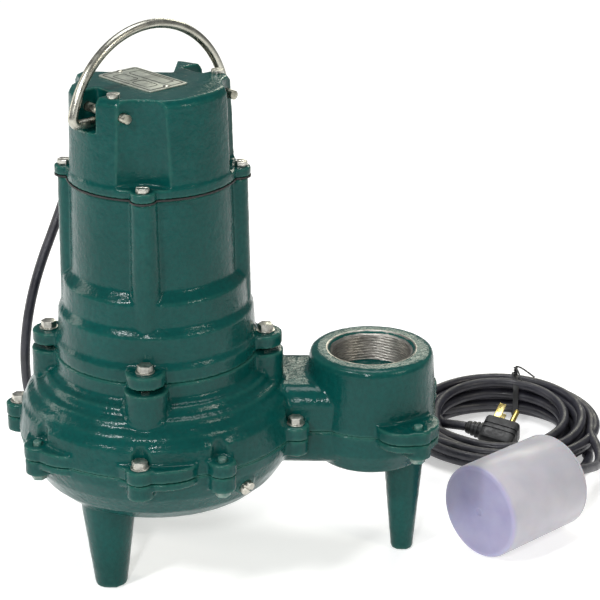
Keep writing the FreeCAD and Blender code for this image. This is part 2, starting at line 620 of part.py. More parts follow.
def motor():
    core_top = "core_z + core_height"
    node("stator_core", ring("StatorCore", "rotor_r + 0.5", f"stator_r - {GAP}", "core_z", core_top))
    winding = [ring("WindingUpper", 32, 49, core_top, f"{core_top} + 17"),
               ring("WindingLower", 32, 49, "core_z - 15", "core_z")]
    node("stator_winding", group("StatorWinding", winding))
    node("rotor_core", ring("RotorCore", f"shaft_r + {GAP / 5}", "rotor_r", "core_z", core_top))
    node("motor_shaft", turned("MotorShaft", [
        (0, "split_z - 13"), (5, "split_z - 13"), (5, "split_z - 4"), (7, "split_z - 4"),
        (7, "split_z + 17"), (8, "split_z + 17"), (8, "seam_z - 13.6"), ("lower_seat_r", "seam_z - 13.6"),
        ("lower_seat_r", "seam_z - 1.6"), ("shaft_r", "seam_z - 1.6"), ("shaft_r", "flange_z + 16"),
        ("upper_seat_r", "flange_z + 16"), ("upper_seat_r", "flange_z + 28"), (0, "flange_z + 28")]))


def ball_bearing(name, bore, outer, inner_ring, outer_ring, low, width, ball_r, balls):
    """Deep-groove bearing: two rings, and a crown cage with its balls as one moving set."""
    top = f"{low} + {width}"
    node(f"{name}_outer_ring", ring(f"{name}_outer", outer_ring, f"{outer} - {GAP / 5}", low, top))
    node(f"{name}_inner_ring", ring(f"{name}_inner", f"{bore} + {GAP / 5}", inner_ring, low, top))
    pitch = (outer_ring + inner_ring) / 2
    middle = width / 2
    pieces = [ring(f"{name}_crown", pitch - 1.6, pitch + 1.6, f"{low} + {middle + ball_r + 0.1}",
                   f"{low} + {middle + ball_r + 1.3}")]
    for index in range(balls):
        angle = 2 * math.pi * index / balls
        ball = sized("Part::Sphere", f"{name}_ball{index}", Radius=ball_r)
        pieces.append(at(ball, pitch * math.cos(angle), pitch * math.sin(angle), f"{low} + {middle}"))
    node(f"{name}_cage", group(f"{name}_balls", pieces))


def bearings():
    ball_bearing("lower_bearing", "lower_seat_r", "lower_outer_r", 11.6, 17.0, "seam_z - 13.6", 12,
                 2.6, 8)
    ball_bearing("upper_bearing", "upper_seat_r", "upper_outer_r", 10.3, 15.0, "flange_z + 16.5", 11,
                 2.25, 8)
    clip = ring("ClipRing", 17.6, f"lower_outer_r - {GAP}", "seam_z - 1.55", "seam_z - 0.45")
    opening = block("ClipOpening", (14, -2.5, "seam_z - 3"), (22, 2.5, "seam_z + 1"))
    node("bearing_retaining_ring", cut("RetainingRing", clip, [opening]))


def shaft_seal():
    node("seal_seat", ring("SealSeat", 9.2, f"16 - {GAP}", "split_z + 27", "split_z + 35"))
    node("seal_head", ring("SealHead", 8 + GAP, 14.5, "split_z + 21.5", "split_z + 26.9"))
    low, folds, pitch = number("split_z") + 14.1, 3, 2.4
    outline = [(8.05, low + folds * pitch), (8.05, low)]
    for fold in range(folds):
        foot = low + fold * pitch
        outline += [(9.4, foot), (13.4, foot + pitch * 0.35), (13.4, foot + pitch * 0.65)]
    node("seal_bellows", turned("SealBellows", outline + [(9.4, low + folds * pitch)]))


def impeller():
    hub = ring("ImpellerHub", f"7 + {GAP / 5}", 15, "split_z - 4", "split_z + 14")
    plate = ring("ImpellerPlate", 12, "impeller_r", "split_z + 9", "split_z + 14")
    parts = [hub, plate]
    for index in range(8):
        vane = sized("Part::Box", f"Vane{index}", Width=3.6, Height=14)
        vane.setExpression("Length", linked("impeller_r - 14"))
        turn = Rotation(Vector(0, 0, 1), 45 * index)
        vane.Placement = Placement(turn.multVec(Vector(12, -1.8, number("split_z") - 4)), turn)
        parts.append(vane)
    node("impeller", fused("Impeller", parts))
    nut = hexagon("NutBlank", 9.5, 7, 0, 0, "split_z - 11.2")
    node("impeller_nut", cut("ImpellerNut", nut, [cylinder("NutHole", 5 + GAP / 5, 20, 0, 0,
                                                           "split_z - 20")]))


def cap_electrics():
    roof = "cap_top - 33"
    turn = math.radians(225)
    x, y = 33.4 * math.cos(turn), 33.4 * math.sin(turn)
    can = cylinder("CapacitorCan", 9.0, 30, x, y, f"{roof} - 30")
    tabs = [block(f"CapacitorTab{i}", (x - 4 + 6 * i, y - 0.4, f"{roof} - 36"),
                  (x - 2 + 6 * i, y + 0.4, f"{roof} - 30")) for i in range(2)]
    node("run_capacitor", fused("RunCapacitor", [can] + tabs))
    turn = math.radians(315)
    x, y = 34 * math.cos(turn), 34 * math.sin(turn)
    node("overload_protector", fused("OverloadProtector", [
        cylinder("ProtectorCase", 8.5, 9, x, y, f"{roof} - 9"),
        block("ProtectorTab", (x - 3, y - 0.5, f"{roof} - 16"), (x + 3, y + 0.5, f"{roof} - 9"))]))


# ---- cords -----------------------------------------------------------------------------------------

def cord_tube(points, say):
    """Tube of the cord's section: straight runs joined by tangent arcs as large as the runs allow."""
    points = [Vector(*p) for p in points]
    edges = []
    radii = []
    last = points[0]
    for before, corner, after in zip(points, points[1:], points[2:]):
        shorter = min(corner.distanceToPoint(before), corner.distanceToPoint(after))
        start, bend, end, radius = rounded_corner(before, corner, after, 0.45 * shorter)
        edges += [Part.LineSegment(last, start).toShape(), bend]
        radii.append(radius)
        last = end
    edges.append(Part.LineSegment(last, points[-1]).toShape())
    path = Part.Wire(edges)
    cord_r = number("cord_r")
    profile = Part.Wire(Part.Circle(points[0], points[1] - points[0], cord_r).toShape())
    tube = path.makePipeShell([profile], True, False)
    share = tube.Volume / (math.pi * cord_r ** 2 * path.Length)
    print(f"{say}: length {path.Length:.0f}, radii {[round(r) for r in radii]}, volume / (section x length)"
          f" {share:.3f}")
    return tube


RELIEF_END = 98.0
CORD_START = CORD_EXIT * RELIEF_END + Vector(0, 0, CORD_EXIT_Z)
POWER_RUN = [
    tuple(CORD_START), (-56.5, 121.2, 330), (-68, 143, 303), (-77, 146, 262), (-91, 130, 222),
    (-105, 115, 186), (-114, 106, 150), (-118, 103, 112), (-116, 107, 76), (-109, 119, 42),
    (-97, 143, 15), (-80, 176, 4.1), (-62, 214, 4), (-42, 254, 4.1), (-16, 292, 4), (18, 322, 4),
    (58, 340, 4.1), (100, 345, 4), (140, 335, 4), (174, 317, 4.2), (201, 292, 5), (221, 267, 6)]
POWER_TAIL = [(340, 176, 4.4), (333, 147, 4.4), (314, 128, 7.0), (293, 119, 12.5)]
FLOAT_START = [(236.6, 190.3, 20.7), (226, 194.5, 20.5), (216.5, 203, 17)]
FLOAT_END = [(340, 180, 19.5), (345, 153, 17.5), (342, 127, 18), (331, 104, 26), (316.2, 82.2, 34.5),
             (309.0, 73.9, 36.5)]


def cord_exit():
    turn = along(tuple(CORD_EXIT))
    nut_at = CORD_EXIT * (64 + GAP) + Vector(0, 0, CORD_EXIT_Z)
    nut = fused("GlandSolid", [
        hexagon("GlandNut", 11.5, 8, *nut_at, turn),
        cylinder("GlandStem", 7.5, 14, *(nut_at - CORD_EXIT * 14), turn)])
    bore = cylinder("GlandWay", 5.0, 60, *(nut_at - CORD_EXIT * 30), turn)
    node("cord_gland", cut("CordGland", nut, [bore]))
    relief_at = nut_at + CORD_EXIT * (8 + GAP)
    relief = cone("ReliefCone", 7.6, 4.9, RELIEF_END - 72 - 2 * GAP, *relief_at, turn)
    node("cord_strain_relief", group("StrainRelief", [relief]))


def slope(name, back_z, front_z, above):
    """Large block with one face on the plane that falls from back_z behind the coil to front_z."""
    span = number("coil_b") * 2
    angle = math.degrees(math.atan((number(back_z) - number(front_z)) / span))
    tilt = Rotation(Vector(1, 0, 0), angle)
    made = sized("Part::Box", name, Length=400, Width=400, Height=60)
    front = Vector(number("coil_x") - 200, number("coil_y - coil_b"), number(front_z))
    low_side = tilt.multVec(Vector(0, -120, 0 if above else -60))
    made.Placement = Placement(front + low_side, tilt)
    return made


def oval(name, half_x, half_y, middle_y):
    """Upright oval block, centred on the coil's x."""
    loop = sized("Part::Ellipse", name, MajorRadius=half_x, MinorRadius=half_y)
    at(loop, "coil_x", middle_y, 0)
    disc = doc.addObject("Part::Extrusion", name + "_disc")
    disc.Base = loop
    disc.DirMode = "Custom"
    disc.Dir = Vector(0, 0, 1)
    disc.LengthFwd = 50
    disc.Solid = True
    return disc


TIE_X = 282.0


def coils():
    """The hank of both cords, in two layers: the mains cord below and the float's cord on it."""
    middle = ("coil_back_height / 2", "coil_front_height / 2")
    top = ("coil_back_height", "coil_front_height")
    outside = ("coil_a", "coil_b", "coil_y")
    inside = ("coil_hole_a", "coil_hole_b", "coil_hole_y")
    slot = block("TieSlot", (TIE_X - 3, 230, -1), (TIE_X + 3, 290, 1.3))
    node("power_cord_coil", cut("PowerCoil", oval("PowerCoilOuter", *outside), [
        oval("PowerCoilInner", *inside), slope("AbovePower", *middle, True), slot]))
    node("float_cord_coil", cut("FloatCoil", oval("FloatCoilOuter", *outside), [
        oval("FloatCoilInner", *inside), slope("AboveFloat", *top, True),
        slope("BelowFloat", *middle, False)]))
    band = block("TieOuter", (TIE_X - 2.5, "coil_hole_y + coil_hole_b - 5.4", 0),
                 (TIE_X + 2.5, "coil_y + coil_b + 1.6", "coil_back_height + 1.8"))
    space = block("TieInner", (TIE_X - 4, "coil_hole_y + coil_hole_b - 4.2", 1.2),
                   (TIE_X + 4, "coil_y + coil_b + 0.4", "coil_back_height + 0.6"))
    head = block("TieHead", (TIE_X - 4, "coil_y + coil_b - 12", "coil_back_height + 0.7"),
                 (TIE_X + 4, "coil_y + coil_b - 4", "coil_back_height + 5.5"))
    node("coil_tie", fused("CoilTie", [cut("TieBand", band, [space]), head]))


# Plugs, drawn with their blades along +Z from z = 0 and the earth pin towards +X, then turned.
PLUG_BODY = (30.0, 22.0, 24.0)
BLADE = (6.3, 1.5, 17.0)
BLADE_APART = 12.7
EARTH_AWAY = 11.9
EARTH_R = 2.4
EARTH_LENGTH = 20.0
PIGGYBACK_FACE = Vector(267.4, 190.0, 22.2)
PIGGYBACK_TURN = Rotation(Vector(0.92, -0.36, -0.12), Vector(), Vector(0.38, 0.83, 0.41), "ZXY")
POWER_PLUG_HEADING = Vector(-0.95, -0.31, 0)
POWER_PLUG_TURN = Rotation(Vector(0, 0, -1), Vector(), POWER_PLUG_HEADING, "ZXY")
POWER_PLUG_FACE = Vector(293, 119, 12.5) + POWER_PLUG_HEADING * 38


def placed(made, base, rotation):
    """Group holding one drawn piece, turned and moved to where it lies."""
    made.Placement = Placement(base, rotation).multiply(made.Placement)
    return made


def plug_metal(name, base, rotation):
    blades = []
    for index, side in enumerate((-1, 1)):
        blade = sized("Part::Box", f"{name}_blade{index}", Length=BLADE[0], Width=BLADE[1],
                      Height=BLADE[2])
        blade.Placement = Placement(Vector(-6 - BLADE[0] / 2, side * BLADE_APART / 2 - BLADE[1] / 2, 0),
                                    Rotation())
        blades.append(placed(blade, base, rotation))
    node(f"{name}_blades", group(f"{name}_pair", blades))
    pin = cylinder(f"{name}_pin", EARTH_R, EARTH_LENGTH - EARTH_R, EARTH_AWAY - 6, 0, 0)
    tip = sized("Part::Sphere", f"{name}_tip", Radius=EARTH_R)
    tip.Placement = Placement(Vector(EARTH_AWAY - 6, 0, EARTH_LENGTH - EARTH_R), Rotation())
    node(f"{name}_earth_pin", fused(f"{name}_earth", [placed(pin, base, rotation),
                                                      placed(tip, base, rotation)]))


def plugs():
    long, thick, deep = PLUG_BODY
    body = sized("Part::Box", "PiggybackBody", Length=long, Width=thick, Height=deep)
    body.Placement = Placement(Vector(-14, -thick / 2, -deep), Rotation())
    relief = cone("PiggybackRelief", 7.5, 4.9, 15, -13.5, 0, -12, along((-1, 0, 0)))
    slots = []
    for index, side in enumerate((-1, 1)):
        slot = sized("Part::Box", f"PiggybackSlot{index}", Length=7.6, Width=2.2, Height=14)
        slot.Placement = Placement(Vector(-6 - 3.8, side * BLADE_APART / 2 - 1.1, -deep - 1), Rotation())
        slots.append(slot)
    slots.append(cylinder("PiggybackSocket", 2.9, 14, EARTH_AWAY - 6, 0, -deep - 1))
    pieces = [placed(p, PIGGYBACK_FACE, PIGGYBACK_TURN) for p in [body, relief] + slots]
    node("piggyback_plug", cut("Piggyback", fused("PiggybackSolid", pieces[:2]), pieces[2:]))
    plug_metal("piggyback", PIGGYBACK_FACE, PIGGYBACK_TURN)
    front = cone("PowerPlugFront", 12.4, 12.4, 8, 0, 0, -8)
    grip = cone("PowerPlugGrip", 9.0, 12.4, 16, 0, 0, -24)
    neck = cone("PowerPlugNeck", 4.9, 7.0, 14, 0, 0, -38)
    pieces = [placed(p, POWER_PLUG_FACE, POWER_PLUG_TURN) for p in (front, grip, neck)]
    node("power_plug", fused("PowerPlug", pieces))
    plug_metal("power_plug", POWER_PLUG_FACE, POWER_PLUG_TURN)


# ---- float switch ----------------------------------------------------------------------------------

def in_float(label, made):
    """Register a piece drawn along +Z from the float's near end, laid along the float's own line."""
    turn = Rotation(Vector(0, 0, 1), number("float_turn")).multiply(Rotation(Vector(0, 1, 0), 90))
    made.Placement = Placement(Vector(number("float_x"), number("float_y"), number("float_r")), turn)
    node(label, group(label + "_laid", [made]))


def float_switch():
    outer, wall, end = "float_r", "float_wall", "float_length"
    in_float("float_shell", turned("FloatShell", [
        (0, 0.6), (2.6, 0.6), (3.2, 0), (f"{outer} - 3", 0), (f"{outer} - 0.8", 0.8), (outer, 3),
        (outer, f"{end} - 4"), (f"{outer} - {wall}", f"{end} - 4"), (f"{outer} - {wall}", wall),
        (0, wall)]))
    in_float("float_end_cap", turned("FloatEndCap", [
        (6, f"{end} - 3.9"), (12, f"{end} - 3.9"), (12, f"{end} - 7.9"), (14.5, f"{end} - 7.9"),
        (14.5, f"{end} - 3.9"), (f"{outer} - {wall} - 2.4", f"{end} - 3.9"),
        (f"{outer} - {wall} - 2.4", f"{end} - 8"), (f"{outer} - {wall} - {GAP}", f"{end} - 8"),
        (f"{outer} - {wall} - {GAP}", f"{end} - 3.95"), (outer, f"{end} - 3.95"),
        (outer, f"{end} - 2.5"), (f"{outer} - 2.5", end), (6, end)]))
    in_float("float_cord_grip", turned("FloatGrip", [
        (0, f"{end} - 8"), (5.9, f"{end} - 8"), (5.9, f"{end} + {GAP}"), (7.2, f"{end} + {GAP}"),
        (4.9, f"{end} + 13.6"), (0, f"{end} + 13.6")]))
    in_float("float_switch_tube", turned("FloatTube", [
        (0, 20), (11.9, 20), (11.9, f"{end} - 8.2"), (10.3, f"{end} - 8.2"), (10.3, 22), (0, 22)]))
    in_float("float_microswitch", turned("FloatMicroswitch", [
        (0, 60), (2, 60), (2, 62.5), (10.2, 62.5), (10.2, f"{end} - 8.2"), (0, f"{end} - 8.2")]))
    ball = at(sized("Part::Sphere", "FloatBall", Radius=10), 0, 0, 32.1)
    in_float("float_ball", fused("FloatBallSolid", [ball, cylinder("FloatBallCore", 2, 4, 0, 0, 30)]))


# ---- build -----------------------------------------------------------------------------------------

upper_case()
lower_case()
case_gasket()
drain_plug()
hex_bolts()
motor_housing()
cap_gasket()
motor_cap()
nameplate()
handle()
motor()
bearings()
shaft_seal()
impeller()
cap_electrics()
cord_exit()
node("power_cord", group("PowerCord", [
    shaped("PowerCordRun", cord_tube(POWER_RUN, "mains cord, gland to coil")),
    shaped("PowerCordTail", cord_tube(POWER_TAIL, "mains cord, coil to plug"))]))
node("float_cord", group("FloatCord", [
    shaped("FloatCordStart", cord_tube(FLOAT_START, "float cord, plug to coil")),
    shaped("FloatCordEnd", cord_tube(FLOAT_END, "float cord, coil to float"))]))
coils()
plugs()
float_switch()

doc.recompute()
faults = [f"{o.Name}: {o.State}" for o in doc.Objects if {"Invalid", "Error"} & set(o.State)]
for made in NODES:
    if made.Shape.isNull() or not made.Shape.isValid():
        faults.append(f"{made.Label}: shape is null or not valid")
if faults:
    raise SystemExit("\n".join(faults))
os.makedirs("parts", exist_ok=True)
for made in NODES:
    made.Shape.exportStep(f"parts/{made.Label}.step")
print(len(NODES), "sub-parts")
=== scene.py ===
"""Looks of a submersible sump pump with a piggyback float switch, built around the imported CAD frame.

Lengths are in metres. The motor's axis is vertical through SHAFT, and the floor is at z = 0.
"""
import json
import math
import random

import bmesh
import bpy
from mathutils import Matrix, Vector


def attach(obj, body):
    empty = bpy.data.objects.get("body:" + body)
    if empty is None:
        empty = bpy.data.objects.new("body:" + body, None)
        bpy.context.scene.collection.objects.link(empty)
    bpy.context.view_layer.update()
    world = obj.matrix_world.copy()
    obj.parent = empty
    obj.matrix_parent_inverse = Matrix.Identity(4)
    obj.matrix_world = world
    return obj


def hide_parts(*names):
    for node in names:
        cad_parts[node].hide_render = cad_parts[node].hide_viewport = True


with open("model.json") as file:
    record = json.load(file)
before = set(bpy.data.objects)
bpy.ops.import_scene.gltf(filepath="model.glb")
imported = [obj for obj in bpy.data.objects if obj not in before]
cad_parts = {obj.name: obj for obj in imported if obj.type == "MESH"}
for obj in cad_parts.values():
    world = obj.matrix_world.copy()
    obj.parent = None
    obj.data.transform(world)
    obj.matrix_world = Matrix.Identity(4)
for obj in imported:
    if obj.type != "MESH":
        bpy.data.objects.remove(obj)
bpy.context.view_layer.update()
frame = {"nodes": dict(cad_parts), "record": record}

NODES = frame["nodes"]
BODY_OF = {node: body for body, nodes in frame["record"]["behaviour"]["bodies"].items() for node in nodes}
SLOT_OF = {part["node"]: part["material_slot"] for part in frame["record"]["subparts"]}
SHAFT = Vector((-0.04425, 0, 0))
MM = 0.001


# ---- camera ----------------------------------------------------------------------------------------

def look(thing, place, aim):
    """Stands a camera or a lamp at a place, facing an aim."""
    thing.location = place
    thing.rotation_mode = "QUATERNION"
    thing.rotation_quaternion = (Vector(aim) - Vector(place)).to_track_quat("-Z", "Y")


def linked(name, data):
    """New object in the scene."""
    made = bpy.data.objects.new(name, data)
    bpy.context.scene.collection.objects.link(made)
    return made


CAMERA_PLACE = (0.11035, -1.3391, 0.7396)
CAMERA_AIM = (0.0577, 0.0545, 0.1868)
camera = linked("Camera", bpy.data.cameras.new("Camera"))
camera.data.sensor_width = 36
camera.data.lens = 120
look(camera, CAMERA_PLACE, CAMERA_AIM)
bpy.context.scene.camera = camera


# ---- cords -----------------------------------------------------------------------------------------

CORD_R = 0.0039
POWER_RUN = [
    (-0.08567, 0.08882, 0.33), (-0.10075, 0.1212, 0.33), (-0.11225, 0.143, 0.303),
    (-0.12125, 0.146, 0.262), (-0.13525, 0.13, 0.222), (-0.14925, 0.115, 0.186),
    (-0.15825, 0.106, 0.15), (-0.16225, 0.103, 0.112), (-0.16025, 0.107, 0.076),
    (-0.15325, 0.119, 0.042), (-0.14125, 0.143, 0.015), (-0.12425, 0.176, 0.0041),
    (-0.10625, 0.214, 0.004), (-0.08625, 0.254, 0.0041), (-0.06025, 0.292, 0.004),
    (-0.02625, 0.322, 0.004), (0.01375, 0.34, 0.0041), (0.05575, 0.345, 0.004),
    (0.09575, 0.335, 0.004), (0.12975, 0.317, 0.0042), (0.15675, 0.292, 0.005),
    (0.17675, 0.267, 0.006)]
POWER_TAIL = [(0.29575, 0.176, 0.0044), (0.28875, 0.147, 0.0044), (0.26975, 0.128, 0.007),
              (0.24875, 0.119, 0.0125)]
FLOAT_START = [(0.19235, 0.1903, 0.0207), (0.18175, 0.1945, 0.0205), (0.17225, 0.203, 0.017)]
FLOAT_END = [(0.29575, 0.18, 0.0195), (0.30075, 0.153, 0.0175), (0.29775, 0.127, 0.018),
             (0.28675, 0.104, 0.026), (0.27195, 0.0822, 0.0345), (0.26475, 0.0739, 0.0365)]
COIL_X = 0.22225
OUTER_TURN = (0.0771, 0.2064, 0.0687)      # half width, middle y and half depth of the outermost turns
INNER_TURN = (0.0549, 0.2080, 0.0519)      # the same of the innermost, three columns further in
FRONT_LAYER, BACK_LAYER = 0.0056, 0.0106   # one turn above the next
FRONT_NEST, BACK_NEST = 0.0028, 0.0053     # lift of every second column, whose turns lie between
POINTS_PER_TURN = 16
STRETCH = 1.02                             # the spline runs inside its control points by this much
LOWEST = 0.0041                            # centre line of a cord that lies on the floor
WANDER = 0.0007                            # a turn strays sideways by up to this
LIFT = 0.0004                              # and upwards by up to this
MOVE_OVER = 0.25                           # last share of a turn, where the cord shifts to the next slot
COLUMNS_APART = 3                          # columns from the outermost turns to the innermost
FAN_TURN = 0.5                             # the turns spread most this far past the coil's right side
FAN, FAN_PER_LAYER = 0.0006, 0.0012        # by this much, and more in each layer


def coil_turns(start_turn, turns, slots, seed):
    """Points of a hank's turns, clockwise from above. Each slot is the (column, layer) of one turn."""
    draw = random.Random(seed)
    count = round(turns * POINTS_PER_TURN)
    points = []
    for index in range(count + 1):
        done = index / POINTS_PER_TURN
        angle = 2 * math.pi * (start_turn - done)
        slot = min(int(done), len(slots) - 1)
        after = min(slot + 1, len(slots) - 1)
        share = max(0.0, (done - slot - (1 - MOVE_OVER)) / MOVE_OVER)
        share = share * share * (3 - 2 * share)
        column = slots[slot][0] * (1 - share) + slots[after][0] * share
        layer = slots[slot][1] * (1 - share) + slots[after][1] * share
        inward = column / COLUMNS_APART
        half_x, middle_y, half_y = (far + (near - far) * inward for far, near in zip(OUTER_TURN, INNER_TURN))
        back = (1 + math.sin(angle)) / 2
        rise = FRONT_LAYER + (BACK_LAYER - FRONT_LAYER) * back
        nest = (FRONT_NEST + (BACK_NEST - FRONT_NEST) * back) * (1 - math.cos(math.pi * column)) / 2
        right = max(0.0, math.cos(angle + FAN_TURN))
        fan = right * right * (FAN + FAN_PER_LAYER * layer) * (1 if slot % 2 else -0.5)
        wander = draw.uniform(-WANDER, WANDER)
        across = (half_x + wander + fan) * STRETCH
        depth = (half_y + wander) * STRETCH
        height = LOWEST + layer * rise + nest + abs(draw.uniform(-LIFT, LIFT))
        points.append((COIL_X + across * math.cos(angle), middle_y + depth * math.sin(angle), height))
    return points


def cord(name, points, nodes):
    """Smooth round cord through a route's control points, which stands for its CAD solids."""
    line = bpy.data.curves.new(name, "CURVE")
    line.dimensions = "3D"
    spline = line.splines.new("NURBS")
    spline.points.add(len(points) - 1)
    for point, place in zip(spline.points, points):
        point.co = (*place, 1)
        point.radius = CORD_R
    spline.order_u = 3
    spline.use_endpoint_u = True
    spline.resolution_u = 8
    line.bevel_depth = 1
    line.bevel_resolution = 6
    line.use_fill_caps = True
    made = linked(name, line)
    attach(made, "root")
    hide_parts(*nodes)
    dressed(made, "cord_rubber")


# Column and layer of each turn, in the order in which the cord fills them.
POWER_SLOTS = [(1, 1), (3, 0), (2, 0), (1, 0), (0, 1), (0, 0)]
FLOAT_SLOTS = [(3, 1), (2, 1), (3, 2), (2, 2), (1, 2), (0, 2), (0, 2)]
power_points = POWER_RUN + coil_turns(0.29, 5.36, POWER_SLOTS, 3) + POWER_TAIL
float_points = FLOAT_START + coil_turns(0.46, 6.52, FLOAT_SLOTS, 8) + FLOAT_END


# ---- materials -------------------------------------------------------------------------------------

def srgb(red, green, blue):
    """Linear colour from 0-255 screen values."""
    made = []
    for value in (red, green, blue):
        value /= 255
        made.append(value / 12.92 if value <= 0.04045 else ((value + 0.055) / 1.055) ** 2.4)
    return (*made, 1.0)


class Shader:
    """One procedural material, built on the piece's own coordinates in metres."""

    def __init__(self, name):
        self.material = bpy.data.materials.new(name)
        self.material.use_nodes = True
        self.tree = self.material.node_tree
        self.main = self.tree.nodes["Principled BSDF"]
        self.place = self.tree.nodes.new("ShaderNodeTexCoord").outputs["Object"]
        self.normal = None

    def fixed(self, **values):
        """Values that are the same all over, on the shader's own sockets."""
        for name, value in values.items():
            self.main.inputs[name.replace("_", " ")].default_value = value

    def plug(self, source, socket):
        """Links one node's output to another's input."""
        self.tree.links.new(source, socket)

    def noise(self, size, detail=3.0, stretch=(1, 1, 1)):
        """Noise from 0 to 1 whose lumps are about as wide as size."""
        mapping = self.tree.nodes.new("ShaderNodeMapping")
        mapping.inputs["Scale"].default_value = stretch
        self.plug(self.place, mapping.inputs["Vector"])
        made = self.tree.nodes.new("ShaderNodeTexNoise")
        made.inputs["Scale"].default_value = 1 / size
        made.inputs["Detail"].default_value = detail
        self.plug(mapping.outputs["Vector"], made.inputs["Vector"])
        return made.outputs["Fac"]

    def ramp(self, source, low, high, start=0.0, end=1.0):
        """A number spread from low to high while the source goes from start to end."""
        made = self.tree.nodes.new("ShaderNodeMapRange")
        made.inputs["From Min"].default_value = start
        made.inputs["From Max"].default_value = end
        made.inputs["To Min"].default_value = low
        made.inputs["To Max"].default_value = high
        self.plug(source, made.inputs["Value"])
        return made.outputs["Result"]

    def blend(self, share, first, second):
        """Mix of two colours, each a tuple or another node's output."""
        made = self.tree.nodes.new("ShaderNodeMix")
        made.data_type = "RGBA"
        self.plug(share, made.inputs["Factor"])
        for value, letter in ((first, "A"), (second, "B")):
            socket = next(one for one in made.inputs if one.name == letter and one.type == "RGBA")
            if isinstance(value, tuple):
                socket.default_value = value
            else:
                self.plug(value, socket)
        return next(one for one in made.outputs if one.type == "RGBA")

    def times(self, first, second):
        """Product of a node's output and a number or another node's output."""
        made = self.tree.nodes.new("ShaderNodeMath")
        made.operation = "MULTIPLY"
        self.plug(first, made.inputs[0])
        if isinstance(second, (int, float)):
            made.inputs[1].default_value = second
        else:
            self.plug(second, made.inputs[1])
        return made.outputs[0]

    def edges(self, start=0.51, end=0.58):
        """1 on convex edges, 0 elsewhere."""
        shape = self.tree.nodes.new("ShaderNodeNewGeometry")
        return self.ramp(shape.outputs["Pointiness"], 0.0, 1.0, start, end)

    def bump(self, source, depth, strength=1.0):
        """Roughens the surface by a depth in metres, on top of the bumps before."""
        made = self.tree.nodes.new("ShaderNodeBump")
        made.inputs["Distance"].default_value = depth
        made.inputs["Strength"].default_value = strength
        self.plug(source, made.inputs["Height"])
        if self.normal:
            self.plug(self.normal, made.inputs["Normal"])
        self.normal = made.outputs["Normal"]

    def finish(self, colour, rough):
        """Material with its colour, its roughness and the bumps so far."""
        self.plug(colour, self.main.inputs["Base Color"])
        self.plug(rough, self.main.inputs["Roughness"])
        if self.normal:
            self.plug(self.normal, self.main.inputs["Normal"])
        return self.material


def plain(name, dark, light, patch, rough, bumps, edge_wear_and_highlight=None, stretch=(1, 1, 1), **values):
    """Material with blotches from dark to light, a roughness range, bumps and coloured edges, which are worn
    edges on most materials and painted highlights on zinc and the drain plug.

    patch is the size of a blotch, rough the lowest and highest roughness, bumps pairs of size and depth,
    and the edge pair the colour of the edges and how much of it shows: worn edges on most materials, a
    painted highlight on zinc and the drain plug.
    """
    made = Shader(name)
    made.fixed(**values)
    blotch = made.ramp(made.noise(patch, 4, stretch), 0.0, 1.0, 0.3, 0.7)
    colour = made.blend(blotch, dark, light)
    if edge_wear_and_highlight:
        # Edge colour: worn edges, and on zinc and the drain plug a painted highlight along the edges.
        share = made.times(made.edges(), made.ramp(made.noise(0.006, 4), 0.0, 1.0, 0.42, 0.62))
        colour = made.blend(made.times(share, edge_wear_and_highlight[1]), colour, edge_wear_and_highlight[0])
    for size, depth in bumps:
        made.bump(made.noise(size, 3, stretch), depth)
    return made.finish(colour, made.ramp(made.noise(patch * 0.45, 4), rough[0], rough[1], 0.35, 0.65))


def enamel():
    """Thick glossy teal enamel over sand-cast iron, whose lighter convex edges are partly worn paint and
    partly a painted highlight.
    """
    made = Shader("paint")
    made.fixed(IOR=1.45, Specular_IOR_Level=0.22)
    broad = made.ramp(made.noise(0.055, 4), 0.0, 1.0, 0.3, 0.7)
    colour = made.blend(broad, srgb(3, 60, 56), srgb(8, 71, 67))
    fine = made.ramp(made.noise(0.003, 3), 0.0, 1.0, 0.35, 0.7)
    colour = made.blend(made.times(fine, 0.4), colour, srgb(5, 47, 46))
    # Lighter convex edges: partly paint worn thin, partly a painted highlight along ribs and flanges.
    worn_and_highlit_edge = made.times(made.edges(0.505, 0.56), 0.42)
    colour = made.blend(worn_and_highlit_edge, colour, srgb(60, 112, 98))
    made.bump(made.noise(0.0042, 3), 0.0005, 0.4)
    made.bump(made.noise(0.0016, 2), 0.0003, 0.6)
    return made.finish(colour, made.ramp(made.noise(0.012, 4), 0.13, 0.24, 0.3, 0.7))


FLOAT_TURN = math.radians(44)
FLOAT_END_AT = Vector((0.19425, 0.0058, 0.0365))     # middle of the float's free end
FLOAT_R = FLOAT_END_AT.z                             # the float lies on the floor


